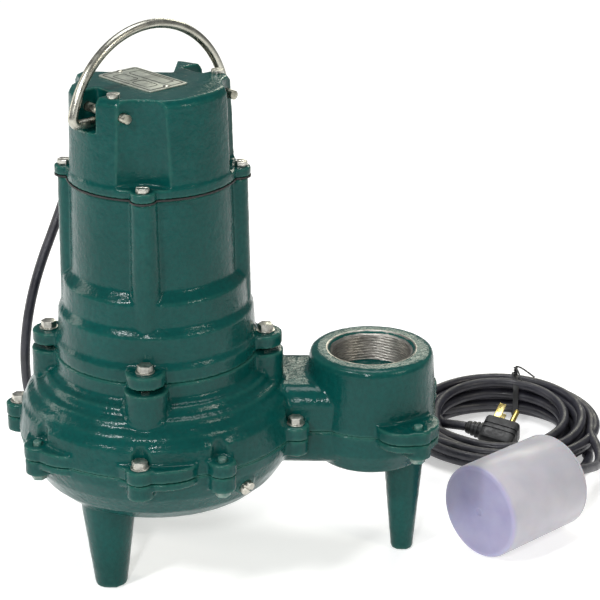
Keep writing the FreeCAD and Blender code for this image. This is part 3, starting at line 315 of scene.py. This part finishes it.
def float_skin():
    """Milky lavender polypropylene: greyer along the wall; the moulded end bluer in its own colour and darker
    as painted shade, with a painted highlight as a paler ring near its rim.
    """
    made = Shader("float_plastic")
    made.fixed(Subsurface_Weight=0.25, Subsurface_Scale=0.006, IOR=1.48)
    split = made.tree.nodes.new("ShaderNodeSeparateXYZ")
    turn = made.tree.nodes.new("ShaderNodeMapping")
    turn.inputs["Rotation"].default_value = (0, 0, -FLOAT_TURN)
    made.plug(made.place, turn.inputs["Vector"])
    made.plug(turn.outputs["Vector"], split.inputs["Vector"])
    near = FLOAT_END_AT.x * math.cos(FLOAT_TURN) + FLOAT_END_AT.y * math.sin(FLOAT_TURN)
    aside = FLOAT_END_AT.y * math.cos(FLOAT_TURN) - FLOAT_END_AT.x * math.sin(FLOAT_TURN)
    flat = made.tree.nodes.new("ShaderNodeMapping")
    flat.inputs["Scale"].default_value = (0, 1, 1)
    made.plug(turn.outputs["Vector"], flat.inputs["Vector"])
    outward = made.tree.nodes.new("ShaderNodeVectorMath")
    outward.operation = "DISTANCE"
    outward.inputs[1].default_value = (0, aside, FLOAT_END_AT.z)
    made.plug(flat.outputs["Vector"], outward.inputs[0])
    # Paler ring near the rim of the end: a painted highlight.
    painted_rim_highlight = made.ramp(outward.outputs["Value"], 0.0, 0.35, FLOAT_R - 0.0042, FLOAT_R - 0.0026)
    along = made.ramp(split.outputs["X"], 0.0, 1.0, near + 0.0005, near + 0.0035)
    wall = made.blend(made.ramp(made.noise(0.03, 3), 0.0, 1.0, 0.3, 0.7), srgb(166, 164, 173),
                      srgb(180, 178, 185))
    # The end: bluer in its own colour, and darker than the wall as painted shade.
    end = made.blend(made.ramp(made.noise(0.02, 3), 0.0, 1.0, 0.3, 0.7), srgb(141, 138, 170),
                     srgb(155, 152, 180))
    # Painted highlight: the paler ring round the end's rim.
    end = made.blend(painted_rim_highlight, end, srgb(176, 174, 200))
    colour = made.blend(along, end, wall)
    made.bump(made.noise(0.0015, 2), 0.00006)
    return made.finish(colour, made.ramp(made.noise(0.01, 3), 0.3, 0.42, 0.3, 0.7))


MATERIALS = {
    "paint": enamel(),
    "float_plastic": float_skin(),
    "painted_bolt": plain("painted_bolt", srgb(16, 76, 70), srgb(34, 98, 88), 0.004, (0.25, 0.45),
                          [(0.0012, 0.0002)], (srgb(150, 160, 150), 0.9), Coat_Weight=0.4),
    # Zinc and drain plug: the near-white colour on their edges is a painted highlight, partly wear.
    "zinc": plain("zinc", srgb(158, 158, 150), srgb(206, 204, 194), 0.003, (0.28, 0.42),
                  [(0.0011, 0.00003)], (srgb(240, 238, 230), 0.5), Metallic=1.0),
    "drain": plain("drain", srgb(166, 163, 152), srgb(206, 202, 190), 0.004, (0.28, 0.42),
                   [(0.0009, 0.00003)], (srgb(236, 232, 220), 0.4), Metallic=1.0),
    "gasket": plain("gasket", srgb(12, 14, 14), srgb(28, 30, 30), 0.006, (0.5, 0.7),
                    [(0.0008, 0.00008)]),
    "stainless": plain("stainless", srgb(156, 155, 144), srgb(190, 189, 178), 0.012, (0.24, 0.38),
                       [(0.0006, 0.00002)], (srgb(150, 150, 146), 0.3), Metallic=1.0),
    "brass_pin": plain("brass_pin", srgb(140, 139, 126), srgb(188, 186, 172), 0.005, (0.25, 0.5),
                       [(0.0008, 0.00006)], Metallic=1.0),
    "plate": plain("plate", srgb(150, 156, 146), srgb(182, 186, 174), 0.009, (0.3, 0.5),
                   [(0.0007, 0.00003)], (srgb(210, 208, 200), 0.5), stretch=(1, 6, 1), Metallic=0.6),
    "bearing_steel": plain("bearing_steel", srgb(190, 190, 190), srgb(216, 216, 214), 0.006,
                           (0.12, 0.3), [(0.0005, 0.00002)], Metallic=1.0),
    "lamination": plain("lamination", srgb(84, 84, 86), srgb(132, 132, 134), 0.004, (0.35, 0.55),
                        [(0.0006, 0.0001)], stretch=(0.1, 0.1, 3), Metallic=1.0),
    "winding": plain("winding", srgb(120, 62, 28), srgb(178, 98, 48), 0.003, (0.25, 0.45),
                     [(0.0016, 0.0004)], stretch=(1, 1, 3), Metallic=0.7),
    "ceramic": plain("ceramic", srgb(214, 206, 190), srgb(232, 226, 214), 0.006, (0.2, 0.35),
                     [(0.0005, 0.00003)]),
    "carbon": plain("carbon", srgb(30, 30, 32), srgb(48, 48, 50), 0.005, (0.3, 0.5), [(0.0006, 0.00005)]),
    "impeller_iron": plain("impeller_iron", srgb(70, 70, 70), srgb(104, 102, 98), 0.01, (0.4, 0.65),
                           [(0.004, 0.0006), (0.0012, 0.0002)], (srgb(150, 148, 140), 0.6), Metallic=0.9),
    "can": plain("can", srgb(150, 152, 154), srgb(184, 186, 188), 0.008, (0.3, 0.45), [(0.0008, 0.00004)],
                 Metallic=0.9),
    "gland_plastic": plain("gland_plastic", srgb(20, 22, 22), srgb(34, 36, 36), 0.005, (0.35, 0.5),
                           [(0.0007, 0.00006)]),
    "cord_rubber": plain("cord_rubber", srgb(24, 24, 31), srgb(42, 42, 52), 0.02, (0.3, 0.5),
                         [(0.0022, 0.00022), (0.0007, 0.00006)], (srgb(74, 74, 80), 0.5)),
    "plug_plastic": plain("plug_plastic", srgb(18, 19, 21), srgb(34, 35, 37), 0.006, (0.35, 0.55),
                          [(0.001, 0.0001)], (srgb(70, 72, 74), 0.5)),
    "brass": plain("brass", srgb(176, 152, 78), srgb(222, 200, 122), 0.005, (0.18, 0.36),
                   [(0.0007, 0.00005)], (srgb(236, 226, 180), 0.5), Metallic=1.0),
    "switch_plastic": plain("switch_plastic", srgb(196, 196, 192), srgb(216, 216, 212), 0.01, (0.35, 0.5),
                            [(0.0008, 0.00005)]),
    "ball_steel": plain("ball_steel", srgb(186, 186, 188), srgb(208, 208, 210), 0.006, (0.12, 0.25),
                        [(0.0005, 0.00002)], Metallic=1.0),
    "machined": plain("machined", srgb(128, 125, 120), srgb(176, 173, 166), 0.004, (0.32, 0.5),
                      [(0.0006, 0.00006)], (srgb(228, 226, 216), 0.5), stretch=(1, 1, 5), Metallic=1.0),
    "plate_line": plain("plate_line", srgb(24, 28, 26), srgb(44, 48, 44), 0.004, (0.4, 0.6),
                        [(0.0006, 0.00003)]),
}


def dressed(piece, slot):
    """Piece in one of the materials."""
    piece.data.materials.clear()
    piece.data.materials.append(MATERIALS[slot])
    return piece


for name_of_node, packed_node in NODES.items():
    dressed(packed_node, SLOT_OF[name_of_node])


# ---- pieces ----------------------------------------------------------------------------------------

def settled(piece):
    """Piece whose modifiers are worked into its mesh."""
    graph = bpy.context.evaluated_depsgraph_get()
    made = bpy.data.meshes.new_from_object(piece.evaluated_get(graph))
    piece.modifiers.clear()
    piece.data = made
    return piece


def modifier(piece, kind, **values):
    """Adds a modifier with its settings."""
    made = piece.modifiers.new(kind.title(), kind)
    for name, value in values.items():
        setattr(made, name, value)


def smooth(piece, degrees=None):
    """Smooth shading, with sharp edges where faces meet at more than the angle."""
    mesh = piece.data
    mesh.shade_smooth()
    if degrees is not None:
        mesh.set_sharp_from_angle(angle=math.radians(degrees))
    return piece


def copy_of(node_name, suffix):
    """Copy of a CAD node's mesh, without the shading that came with it."""
    source = NODES[node_name]
    mesh = bpy.data.meshes.new_from_object(source)
    for name in ("custom_normal", "sharp_edge", "sharp_face"):
        if name in mesh.attributes:
            mesh.attributes.remove(mesh.attributes[name])
    return linked(f"{node_name}_{suffix}", mesh)


def instead(piece, node_name):
    """Piece takes the place of one CAD node, with its body and its slot."""
    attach(piece, BODY_OF[node_name])
    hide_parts(node_name)
    return dressed(piece, SLOT_OF[node_name])


def added(piece, slot, material=None):
    """Piece of the root body with no CAD node of its own."""
    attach(piece, "root")
    return dressed(piece, material or slot)


WELD_GAP = 0.00001
LUMP = 0.0004           # depth of the lumps in a casting's skin; its pits are half as deep


def cast(node_name, grain, rounding):
    """Sand-cast copy of a CAD node: corners rounded off, with soft lumps and small pits in its skin."""
    piece = copy_of(node_name, "cast")
    modifier(piece, "WELD", merge_threshold=WELD_GAP)
    modifier(piece, "REMESH", mode="VOXEL", voxel_size=grain)
    modifier(piece, "SMOOTH", factor=0.5, iterations=rounding)
    lumps = bpy.data.textures.new(node_name + "_lumps", "CLOUDS")
    lumps.noise_scale = 0.011
    lumps.noise_depth = 2
    modifier(piece, "DISPLACE", texture=lumps, strength=LUMP, mid_level=0.5, texture_coords="LOCAL")
    pits = bpy.data.textures.new(node_name + "_pits", "CLOUDS")
    pits.noise_scale = 0.0032
    pits.noise_depth = 1
    modifier(piece, "DISPLACE", texture=pits, strength=LUMP / 2, mid_level=0.5, texture_coords="LOCAL")
    return instead(smooth(settled(piece)), node_name)


def bevelled(node_name, width):
    """Copy of a CAD node with softened edges."""
    piece = copy_of(node_name, "soft")
    modifier(piece, "WELD", merge_threshold=WELD_GAP)
    modifier(piece, "DECIMATE", decimate_type="DISSOLVE", angle_limit=math.radians(1.5))
    modifier(piece, "BEVEL", width=width, segments=2, limit_method="ANGLE",
             angle_limit=math.radians(30), use_clamp_overlap=True)
    return instead(smooth(settled(piece), 40), node_name)


def mesh_of(name, points, faces):
    """Object of points and faces, with every face turned outwards."""
    mesh = bpy.data.meshes.new(name)
    mesh.from_pydata(points, [], faces)
    mesh.validate()
    work = bmesh.new()
    work.from_mesh(mesh)
    bmesh.ops.recalc_face_normals(work, faces=work.faces)
    work.to_mesh(mesh)
    work.free()
    return linked(name, mesh)


def lofted(name, rings, closed=False):
    """Skin through rings of points: closed joins the last ring to the first, else the ends are flat."""
    count = len(rings[0])
    points = [tuple(point) for ring in rings for point in ring]
    faces = []
    for level in range(len(rings) - (0 if closed else 1)):
        low = level * count
        high = (level + 1) % len(rings) * count
        for step in range(count):
            after = (step + 1) % count
            faces.append((low + step, low + after, high + after, high + step))
    if not closed:
        faces.append(tuple(reversed(range(count))))
        faces.append(tuple(range((len(rings) - 1) * count, len(rings) * count)))
    return mesh_of(name, points, faces)


def on_circle(radius, step, sides, height):
    """Point on a level circle round the origin."""
    angle = 2 * math.pi * step / sides
    return Vector((radius * math.cos(angle), radius * math.sin(angle), height))


def lathed(name, outline, place, axis, sides):
    """Piece turned about an axis through place, from (radius, distance) points in millimetres."""
    turn = Vector(axis).to_track_quat("Z", "Y").to_matrix()
    rings = [[Vector(place) + turn @ on_circle(radius * MM, step, sides, distance * MM)
              for step in range(sides)] for radius, distance in outline]
    return lofted(name, rings)


def wire(name, points, radius):
    """Thin smooth round wire through points, as a mesh."""
    line = bpy.data.curves.new(name, "CURVE")
    line.dimensions = "3D"
    spline = line.splines.new("NURBS")
    spline.points.add(len(points) - 1)
    for point, place in zip(spline.points, points):
        point.co = (*place, 1)
    spline.order_u = 3
    spline.use_endpoint_u = True
    line.bevel_depth = radius
    line.bevel_resolution = 3
    line.use_fill_caps = True
    drawn = linked(name, line)
    graph = bpy.context.evaluated_depsgraph_get()
    mesh = bpy.data.meshes.new_from_object(drawn.evaluated_get(graph))
    bpy.data.objects.remove(drawn)
    return smooth(linked(name, mesh))


for case_node, case_grain, case_rounding in (("pump_case_upper", 0.0012, 3), ("pump_case_lower", 0.0012, 3),
                                             ("motor_housing", 0.0012, 4), ("motor_cap", 0.0011, 3)):
    cast(case_node, case_grain, case_rounding)

# Distance from the shaft and height of points on the dome of the upper case, from the top down.
DOME = [(0.0740, 0.161), (0.0800, 0.156), (0.0850, 0.151), (0.0920, 0.145), (0.1000, 0.133), (0.1030, 0.115)]


def dome_height(away):
    """Height of the dome's outline at a distance from the shaft."""
    for (near, high), (far, low) in zip(DOME, DOME[1:]):
        if near <= away <= far:
            return high + (low - high) * (away - near) / (far - near)
    return None


RIDGES = 3
RIDGES_FROM, RIDGES_TO = 0.0765, 0.0985
RIDGE_HEIGHT = 0.0011
NEAR_DOME = 0.003


def ridged(mesh):
    """Low rounded rings on the dome, round the shaft, as the casting pattern left them."""
    normals = [Vector(normal.vector) for normal in mesh.vertex_normals]
    places = [vertex.co.copy() for vertex in mesh.vertices]
    for place, normal in zip(places, normals):
        away = (place.xy - SHAFT.xy).length
        level = dome_height(away)
        if level is None or not RIDGES_FROM < away < RIDGES_TO or abs(place.z - level) > NEAR_DOME:
            continue
        wave = (away - RIDGES_FROM) / (RIDGES_TO - RIDGES_FROM) * RIDGES % 1
        place += normal * (RIDGE_HEIGHT * math.sin(math.pi * wave) ** 2)
    mesh.vertices.foreach_set("co", [value for place in places for value in place])
    mesh.update()


ridged(bpy.data.objects["pump_case_upper_cast"].data)
dressed(NODES["case_gasket"], "paint")

# Width of the softened edge of each small piece.
for small_node, edge_width in (("case_bolts", 0.0004), ("case_stud_bolts", 0.0005), ("housing_bolts", 0.0004),
                               ("cap_screws", 0.0004), ("pin_lock_screws", 0.0004), ("drain_plug", 0.0005),
                               ("cord_gland", 0.0005), ("nameplate", 0.0002), ("handle_pin_left", 0.0007),
                               ("handle_pin_right", 0.0007), ("piggyback_blades", 0.0004),
                               ("piggyback_earth_pin", 0.0003), ("power_plug_blades", 0.0004),
                               ("power_plug_earth_pin", 0.0003), ("float_shell", 0.0009),
                               ("float_end_cap", 0.0009)):
    bevelled(small_node, edge_width)


# ---- outlet thread ---------------------------------------------------------------------------------

OUTLET = Vector((0.11175, 0.0176, 0))
OUTLET_TOP = 0.165
THREAD_R = 0.03005
THREAD_DEPTH = 0.001
THREAD_PITCH = 25.4 * MM / 11.5     # eleven and a half turns to the inch
THREAD_SIDES = 96
LEVELS_PER_TURN = 8
THREAD_LOW = OUTLET_TOP - 0.0236
THREAD_HIGH = OUTLET_TOP - 0.0026


def thread_radius(height, step):
    """Radius of the thread at a height and a step round it: flat crests between straight flanks."""
    phase = (height / THREAD_PITCH - step / THREAD_SIDES) % 1
    ridge = min(1.0, max(0.0, (1 - abs(2 * phase - 1)) * 1.25 - 0.1))
    return THREAD_R - THREAD_DEPTH * ridge


def outlet_thread():
    """Machined face of the outlet: a helical pipe thread, its chamfer and the bare lip round the mouth."""
    rings = [[(THREAD_R + 0.0012, THREAD_LOW)] * THREAD_SIDES]
    levels = int((THREAD_HIGH - THREAD_LOW) / THREAD_PITCH * LEVELS_PER_TURN)
    for level in range(levels + 1):
        height = THREAD_LOW + (THREAD_HIGH - THREAD_LOW) * level / levels
        rings.append([(thread_radius(height, step), height) for step in range(THREAD_SIDES)])
    for wider, height in ((0.0001, THREAD_HIGH + 0.0004), (0.0022, OUTLET_TOP - 0.0002),
                          (0.0026, OUTLET_TOP + 0.0001), (0.0036, OUTLET_TOP + 0.0001),
                          (0.0037, OUTLET_TOP - 0.0008), (0.0012, OUTLET_TOP - 0.004)):
        rings.append([(THREAD_R + wider, height)] * THREAD_SIDES)
    placed = [[OUTLET + on_circle(radius, step, THREAD_SIDES, height)
               for step, (radius, height) in enumerate(ring)] for ring in rings]
    added(smooth(lofted("discharge_thread", placed, closed=True), 50), "zinc", "machined")


outlet_thread()


# ---- nameplate lines -------------------------------------------------------------------------------

PLATE_ACROSS = Vector((math.sqrt(0.5), -math.sqrt(0.5), 0))
PLATE_FORWARD = Vector((math.sqrt(0.5), math.sqrt(0.5), 0))
PLATE_MIDDLE = SHAFT + Vector((-0.005, -0.001, 0.3717))
LINE_HEIGHT = 0.00026
CORNER_R = 0.0022
CORNER_STEPS = 6


def rounded_outline(half_x, half_y, radius):
    """Points of a rectangle with round corners, about the origin."""
    points = []
    for corner, (side_x, side_y) in enumerate(((1, 1), (-1, 1), (-1, -1), (1, -1))):
        for step in range(CORNER_STEPS + 1):
            angle = math.pi / 2 * (corner + step / CORNER_STEPS)
            points.append((side_x * (half_x - radius) + radius * math.cos(angle),
                           side_y * (half_y - radius) + radius * math.sin(angle)))
    return points


def plate_frame(name, half_x, half_y, centre_x, centre_y, width):
    """Thin raised line round a field of the blank nameplate."""
    base = PLATE_MIDDLE + PLATE_ACROSS * centre_x + PLATE_FORWARD * centre_y
    outer = rounded_outline(half_x, half_y, CORNER_R)
    inner = rounded_outline(half_x - width, half_y - width, CORNER_R - width * 0.8)
    rings = []
    for outline, height in ((outer, 0), (outer, LINE_HEIGHT), (inner, LINE_HEIGHT), (inner, 0)):
        rings.append([base + PLATE_ACROSS * x + PLATE_FORWARD * y + Vector((0, 0, height))
                      for x, y in outline])
    added(lofted(name, rings, closed=True), "plate", "plate_line")


plate_frame("nameplate_border", 0.0268, 0.0152, 0, 0, 0.0008)
plate_frame("nameplate_field_upper", 0.0195, 0.0052, 0, 0.0075, 0.0005)
plate_frame("nameplate_field_left", 0.0088, 0.0052, -0.0107, -0.0065, 0.0005)
plate_frame("nameplate_field_right", 0.0088, 0.0052, 0.0107, -0.0065, 0.0005)


# ---- plugs, reliefs and tie ------------------------------------------------------------------------

PLUG_FACE = Vector((0.22315, 0.190, 0.0222))
PLUG_Z = Vector((0.38, 0.83, 0.41)).normalized()
PLUG_SIDE = Vector((0.92, -0.36, -0.12))
PLUG_X = (PLUG_SIDE - PLUG_Z * PLUG_SIDE.dot(PLUG_Z)).normalized()
PLUG_Y = PLUG_Z.cross(PLUG_X)


def on_plug(x, y, z):
    """Point of the piggyback plug, in millimetres from its blade face."""
    return PLUG_FACE + (PLUG_X * x + PLUG_Y * y + PLUG_Z * z) * MM


def squircle(half_x, half_y, sides=48, power=7):
    """Points of a rectangle whose corners are softly rounded, about the origin."""
    points = []
    for step in range(sides):
        angle = 2 * math.pi * step / sides
        cosine, sine = math.cos(angle), math.sin(angle)
        points.append((half_x * math.copysign(abs(cosine) ** (2 / power), cosine),
                       half_y * math.copysign(abs(sine) ** (2 / power), sine)))
    return points


def piggyback():
    """Moulded body with two grip ridges, in the shape of the photographed plug's block."""
    rings = []
    for depth, half_x, half_y in ((-24, 12.6, 8.8), (-23.4, 13.8, 9.8), (-22, 14.6, 10.4), (-15.2, 15, 10.8),
                                  (-14.9, 14.4, 10.2), (-13.4, 14.4, 10.2), (-13.1, 15, 10.9),
                                  (-10.6, 15, 10.9), (-10.3, 14.4, 10.2), (-8.8, 14.4, 10.2),
                                  (-8.5, 15, 11), (-2.4, 15, 11), (-0.9, 14.4, 10.6), (-0.1, 13.2, 9.6)):
        rings.append([on_plug(1 + x, y, depth) for x, y in squircle(half_x, half_y)])
    body = instead(smooth(lofted("piggyback_body", rings), 35), "piggyback_plug")
    outline = [(7.4, 0), (7.4, 2.6), (6.2, 3), (6.2, 4), (6.9, 4.4), (6.9, 6.2), (5.8, 6.6), (5.8, 7.6),
               (6.3, 8), (6.3, 9.8), (5.2, 10.2), (5.2, 11.2), (5.6, 11.6), (5.4, 14), (4.5, 15)]
    relief = lathed("piggyback_relief", outline, on_plug(-12.8, 0, -12), -PLUG_X, 40)
    added(smooth(relief, 40), "plug_plastic")
    return body, relief


MAINS_HEADING = Vector((-0.95, -0.31, 0))
MAINS_PLUG_LENGTH = 0.038


def mains_plug():
    """Round moulded plug with grip rings, a tapered relief and a flat blade face."""
    face = Vector(POWER_TAIL[-1]) + MAINS_HEADING * MAINS_PLUG_LENGTH
    outline = [(4.2, -38.6), (4.9, -38), (5.2, -36), (5.6, -35.6), (5.6, -34), (5.2, -33.6), (5.4, -31.8),
               (5.9, -31.4), (5.9, -29.8), (5.5, -29.4), (5.8, -27.4), (6.4, -27), (6.4, -25), (8.8, -24),
               (9.6, -21.6), (10.1, -20), (9.7, -19.6), (10.2, -17.6), (10.8, -17.2), (10.4, -16.8),
               (11, -14.8), (11.5, -14.4), (11.1, -14), (11.8, -10), (12.3, -8), (12.4, -1.4), (11.9, -0.3),
               (10.6, 0)]
    piece = lathed("power_plug_body", outline, face, MAINS_HEADING.normalized(), 56)
    return instead(smooth(piece, 38), "power_plug")


GLAND_TURN = math.radians(115)
GLAND_OUT = Vector((math.cos(GLAND_TURN), math.sin(GLAND_TURN), 0))
GLAND_FACE = SHAFT + GLAND_OUT * 0.0721 + Vector((0, 0, 0.33))


def strain_relief():
    """Ribbed tapered sleeve where the mains cord leaves the cap."""
    outline = [(4.3, 0.2), (7.5, 0.2)]
    for rib in range(6):
        start = 1.6 + rib * 3.9
        radius = 7.4 - 0.42 * rib
        outline += [(radius, start), (radius, start + 2.0), (radius - 0.9, start + 2.4),
                    (radius - 0.9, start + 3.5)]
    outline += [(5.0, 25.4), (4.3, 25.8)]
    piece = lathed("cord_relief_ribbed", outline, GLAND_FACE, GLAND_OUT, 48)
    instead(smooth(piece, 40), "cord_strain_relief")


TIE_X = 0.23775
TIE_HALF_WIDTH = 0.0026
TIE_THICKNESS = 0.0006
TIE_KNOT = Vector((TIE_X, 0.2650, 0.0355))
TIE_TWIST_R = 0.0013
TIE_WIRE_R = 0.0007
# Across and up along each loose end, from the top of the twist.
TIE_TAIL = [(0.004, 0.0006), (0.010, -0.0012), (0.017, -0.0042)]


def tie_band():
    """Flat paper-covered band of the twist tie, round the hank."""
    outline = [(0.2540, 0.0008), (0.2660, 0.0004), (0.2772, 0.0010), (0.2792, 0.0080), (0.2788, 0.0200),
               (0.2775, 0.0310), (0.2730, 0.0352), (0.2660, 0.0358), (0.2585, 0.0348), (0.2520, 0.0300),
               (0.2508, 0.0180), (0.2515, 0.0070)]
    middle_y = sum(y for y, _ in outline) / len(outline)
    middle_z = sum(z for _, z in outline) / len(outline)
    rings = []
    for y, z in outline:
        out = Vector((0, y - middle_y, z - middle_z)).normalized() * TIE_THICKNESS
        place = Vector((TIE_X, y, z))
        rings.append([place + Vector((side * TIE_HALF_WIDTH, 0, 0)) + out * level
                      for side, level in ((-1, 0), (1, 0), (1, 1), (-1, 1))])
    band = lofted("coil_tie_band", rings, closed=True)
    modifier(band, "SUBSURF", levels=2)
    instead(smooth(settled(band)), "coil_tie")


def tie_end(name, start_angle, lean_x, lean_y):
    """One wire of the twist on top of the hank, and its loose end leaning away."""
    strand = []
    for step in range(13):
        angle = start_angle + step * 0.9
        strand.append(TIE_KNOT + Vector((TIE_TWIST_R * math.cos(angle), TIE_TWIST_R * math.sin(angle),
                                         0.0006 + 0.00062 * step)))
    top = strand[-1]
    strand += [top + Vector((out * lean_x, -out * lean_y, rise)) for out, rise in TIE_TAIL]
    added(wire(name, strand, TIE_WIRE_R), "plug_plastic")


plug_body, plug_relief = piggyback()
mains_body = mains_plug()
strain_relief()
tie_band()
tie_end("coil_tie_end_0", 0, 0.25, 1.1)
tie_end("coil_tie_end_1", math.pi, 0.9, 0.8)

cord("power_cord_line", power_points,
     ["power_cord", "power_cord_coil"])
cord("float_cord_line", float_points,
     ["float_cord", "float_cord_coil"])


# ---- floor and lights ------------------------------------------------------------------------------

FLOOR_HALF = 9.0
FLOOR_DROP = 0.0004


def floor():
    """Wide white ground that glows a little, as a photographer's paper does."""
    made = Shader("floor")
    shade = made.ramp(made.noise(0.6, 2), 0.0, 1.0, 0.3, 0.7)
    colour = made.blend(shade, (0.84, 0.84, 0.84, 1), (0.87, 0.87, 0.87, 1))
    made.bump(made.noise(0.002, 2), 0.00002)
    made.fixed(Emission_Color=(1, 1, 1, 1), Emission_Strength=0.42)
    made.finish(colour, made.ramp(made.noise(0.05, 2), 0.6, 0.7, 0.3, 0.7))
    mesh = bpy.data.meshes.new("Floor")
    corners = [(x * FLOOR_HALF, y * FLOOR_HALF, 0) for x, y in ((-1, -1), (1, -1), (1, 1), (-1, 1))]
    mesh.from_pydata(corners, [], [(0, 1, 2, 3)])
    piece = linked("Floor", mesh)
    piece.location.z = -FLOOR_DROP
    mesh.materials.append(made.material)


def soft_light(name, place, aim, size, power_w, colour=(1, 1, 1)):
    """Rectangular lamp at a place, facing an aim."""
    lamp = bpy.data.lights.new(name, "AREA")
    lamp.shape = "RECTANGLE"
    lamp.size = size[0]
    lamp.size_y = size[1]
    lamp.energy = power_w
    lamp.color = colour
    look(linked(name, lamp), place, aim)


floor()
CENTRE = (0.05, 0.05, 0.15)
soft_light("Key", (-1.1, -1.3, 1.7), CENTRE, (0.25, 0.3), 24)
soft_light("Flash", (-0.15, -1.5, 0.95), CENTRE, (0.12, 0.12), 9)
soft_light("Fill", (1.6, -1.0, 1.1), CENTRE, (0.3, 0.4), 9, (1.0, 0.95, 0.84))
soft_light("Top", (0.1, 0.4, 2.2), CENTRE, (1.2, 0.8), 22)
soft_light("Left", (-1.6, 0.35, 0.7), (-0.05, 0, 0.2), (0.3, 1.2), 7, (1.0, 0.96, 0.88))
soft_light("Back", (0.6, 2.6, 1.5), CENTRE, (1.4, 0.4), 16, (1.0, 0.98, 0.82))
world = bpy.data.worlds.new("World")
world.use_nodes = True
background = world.node_tree.nodes["Background"]
background.inputs["Color"].default_value = (0.95, 0.97, 1.0, 1)
background.inputs["Strength"].default_value = 0.24
bpy.context.scene.world = world
bpy.context.scene.view_settings.view_transform = "Standard"
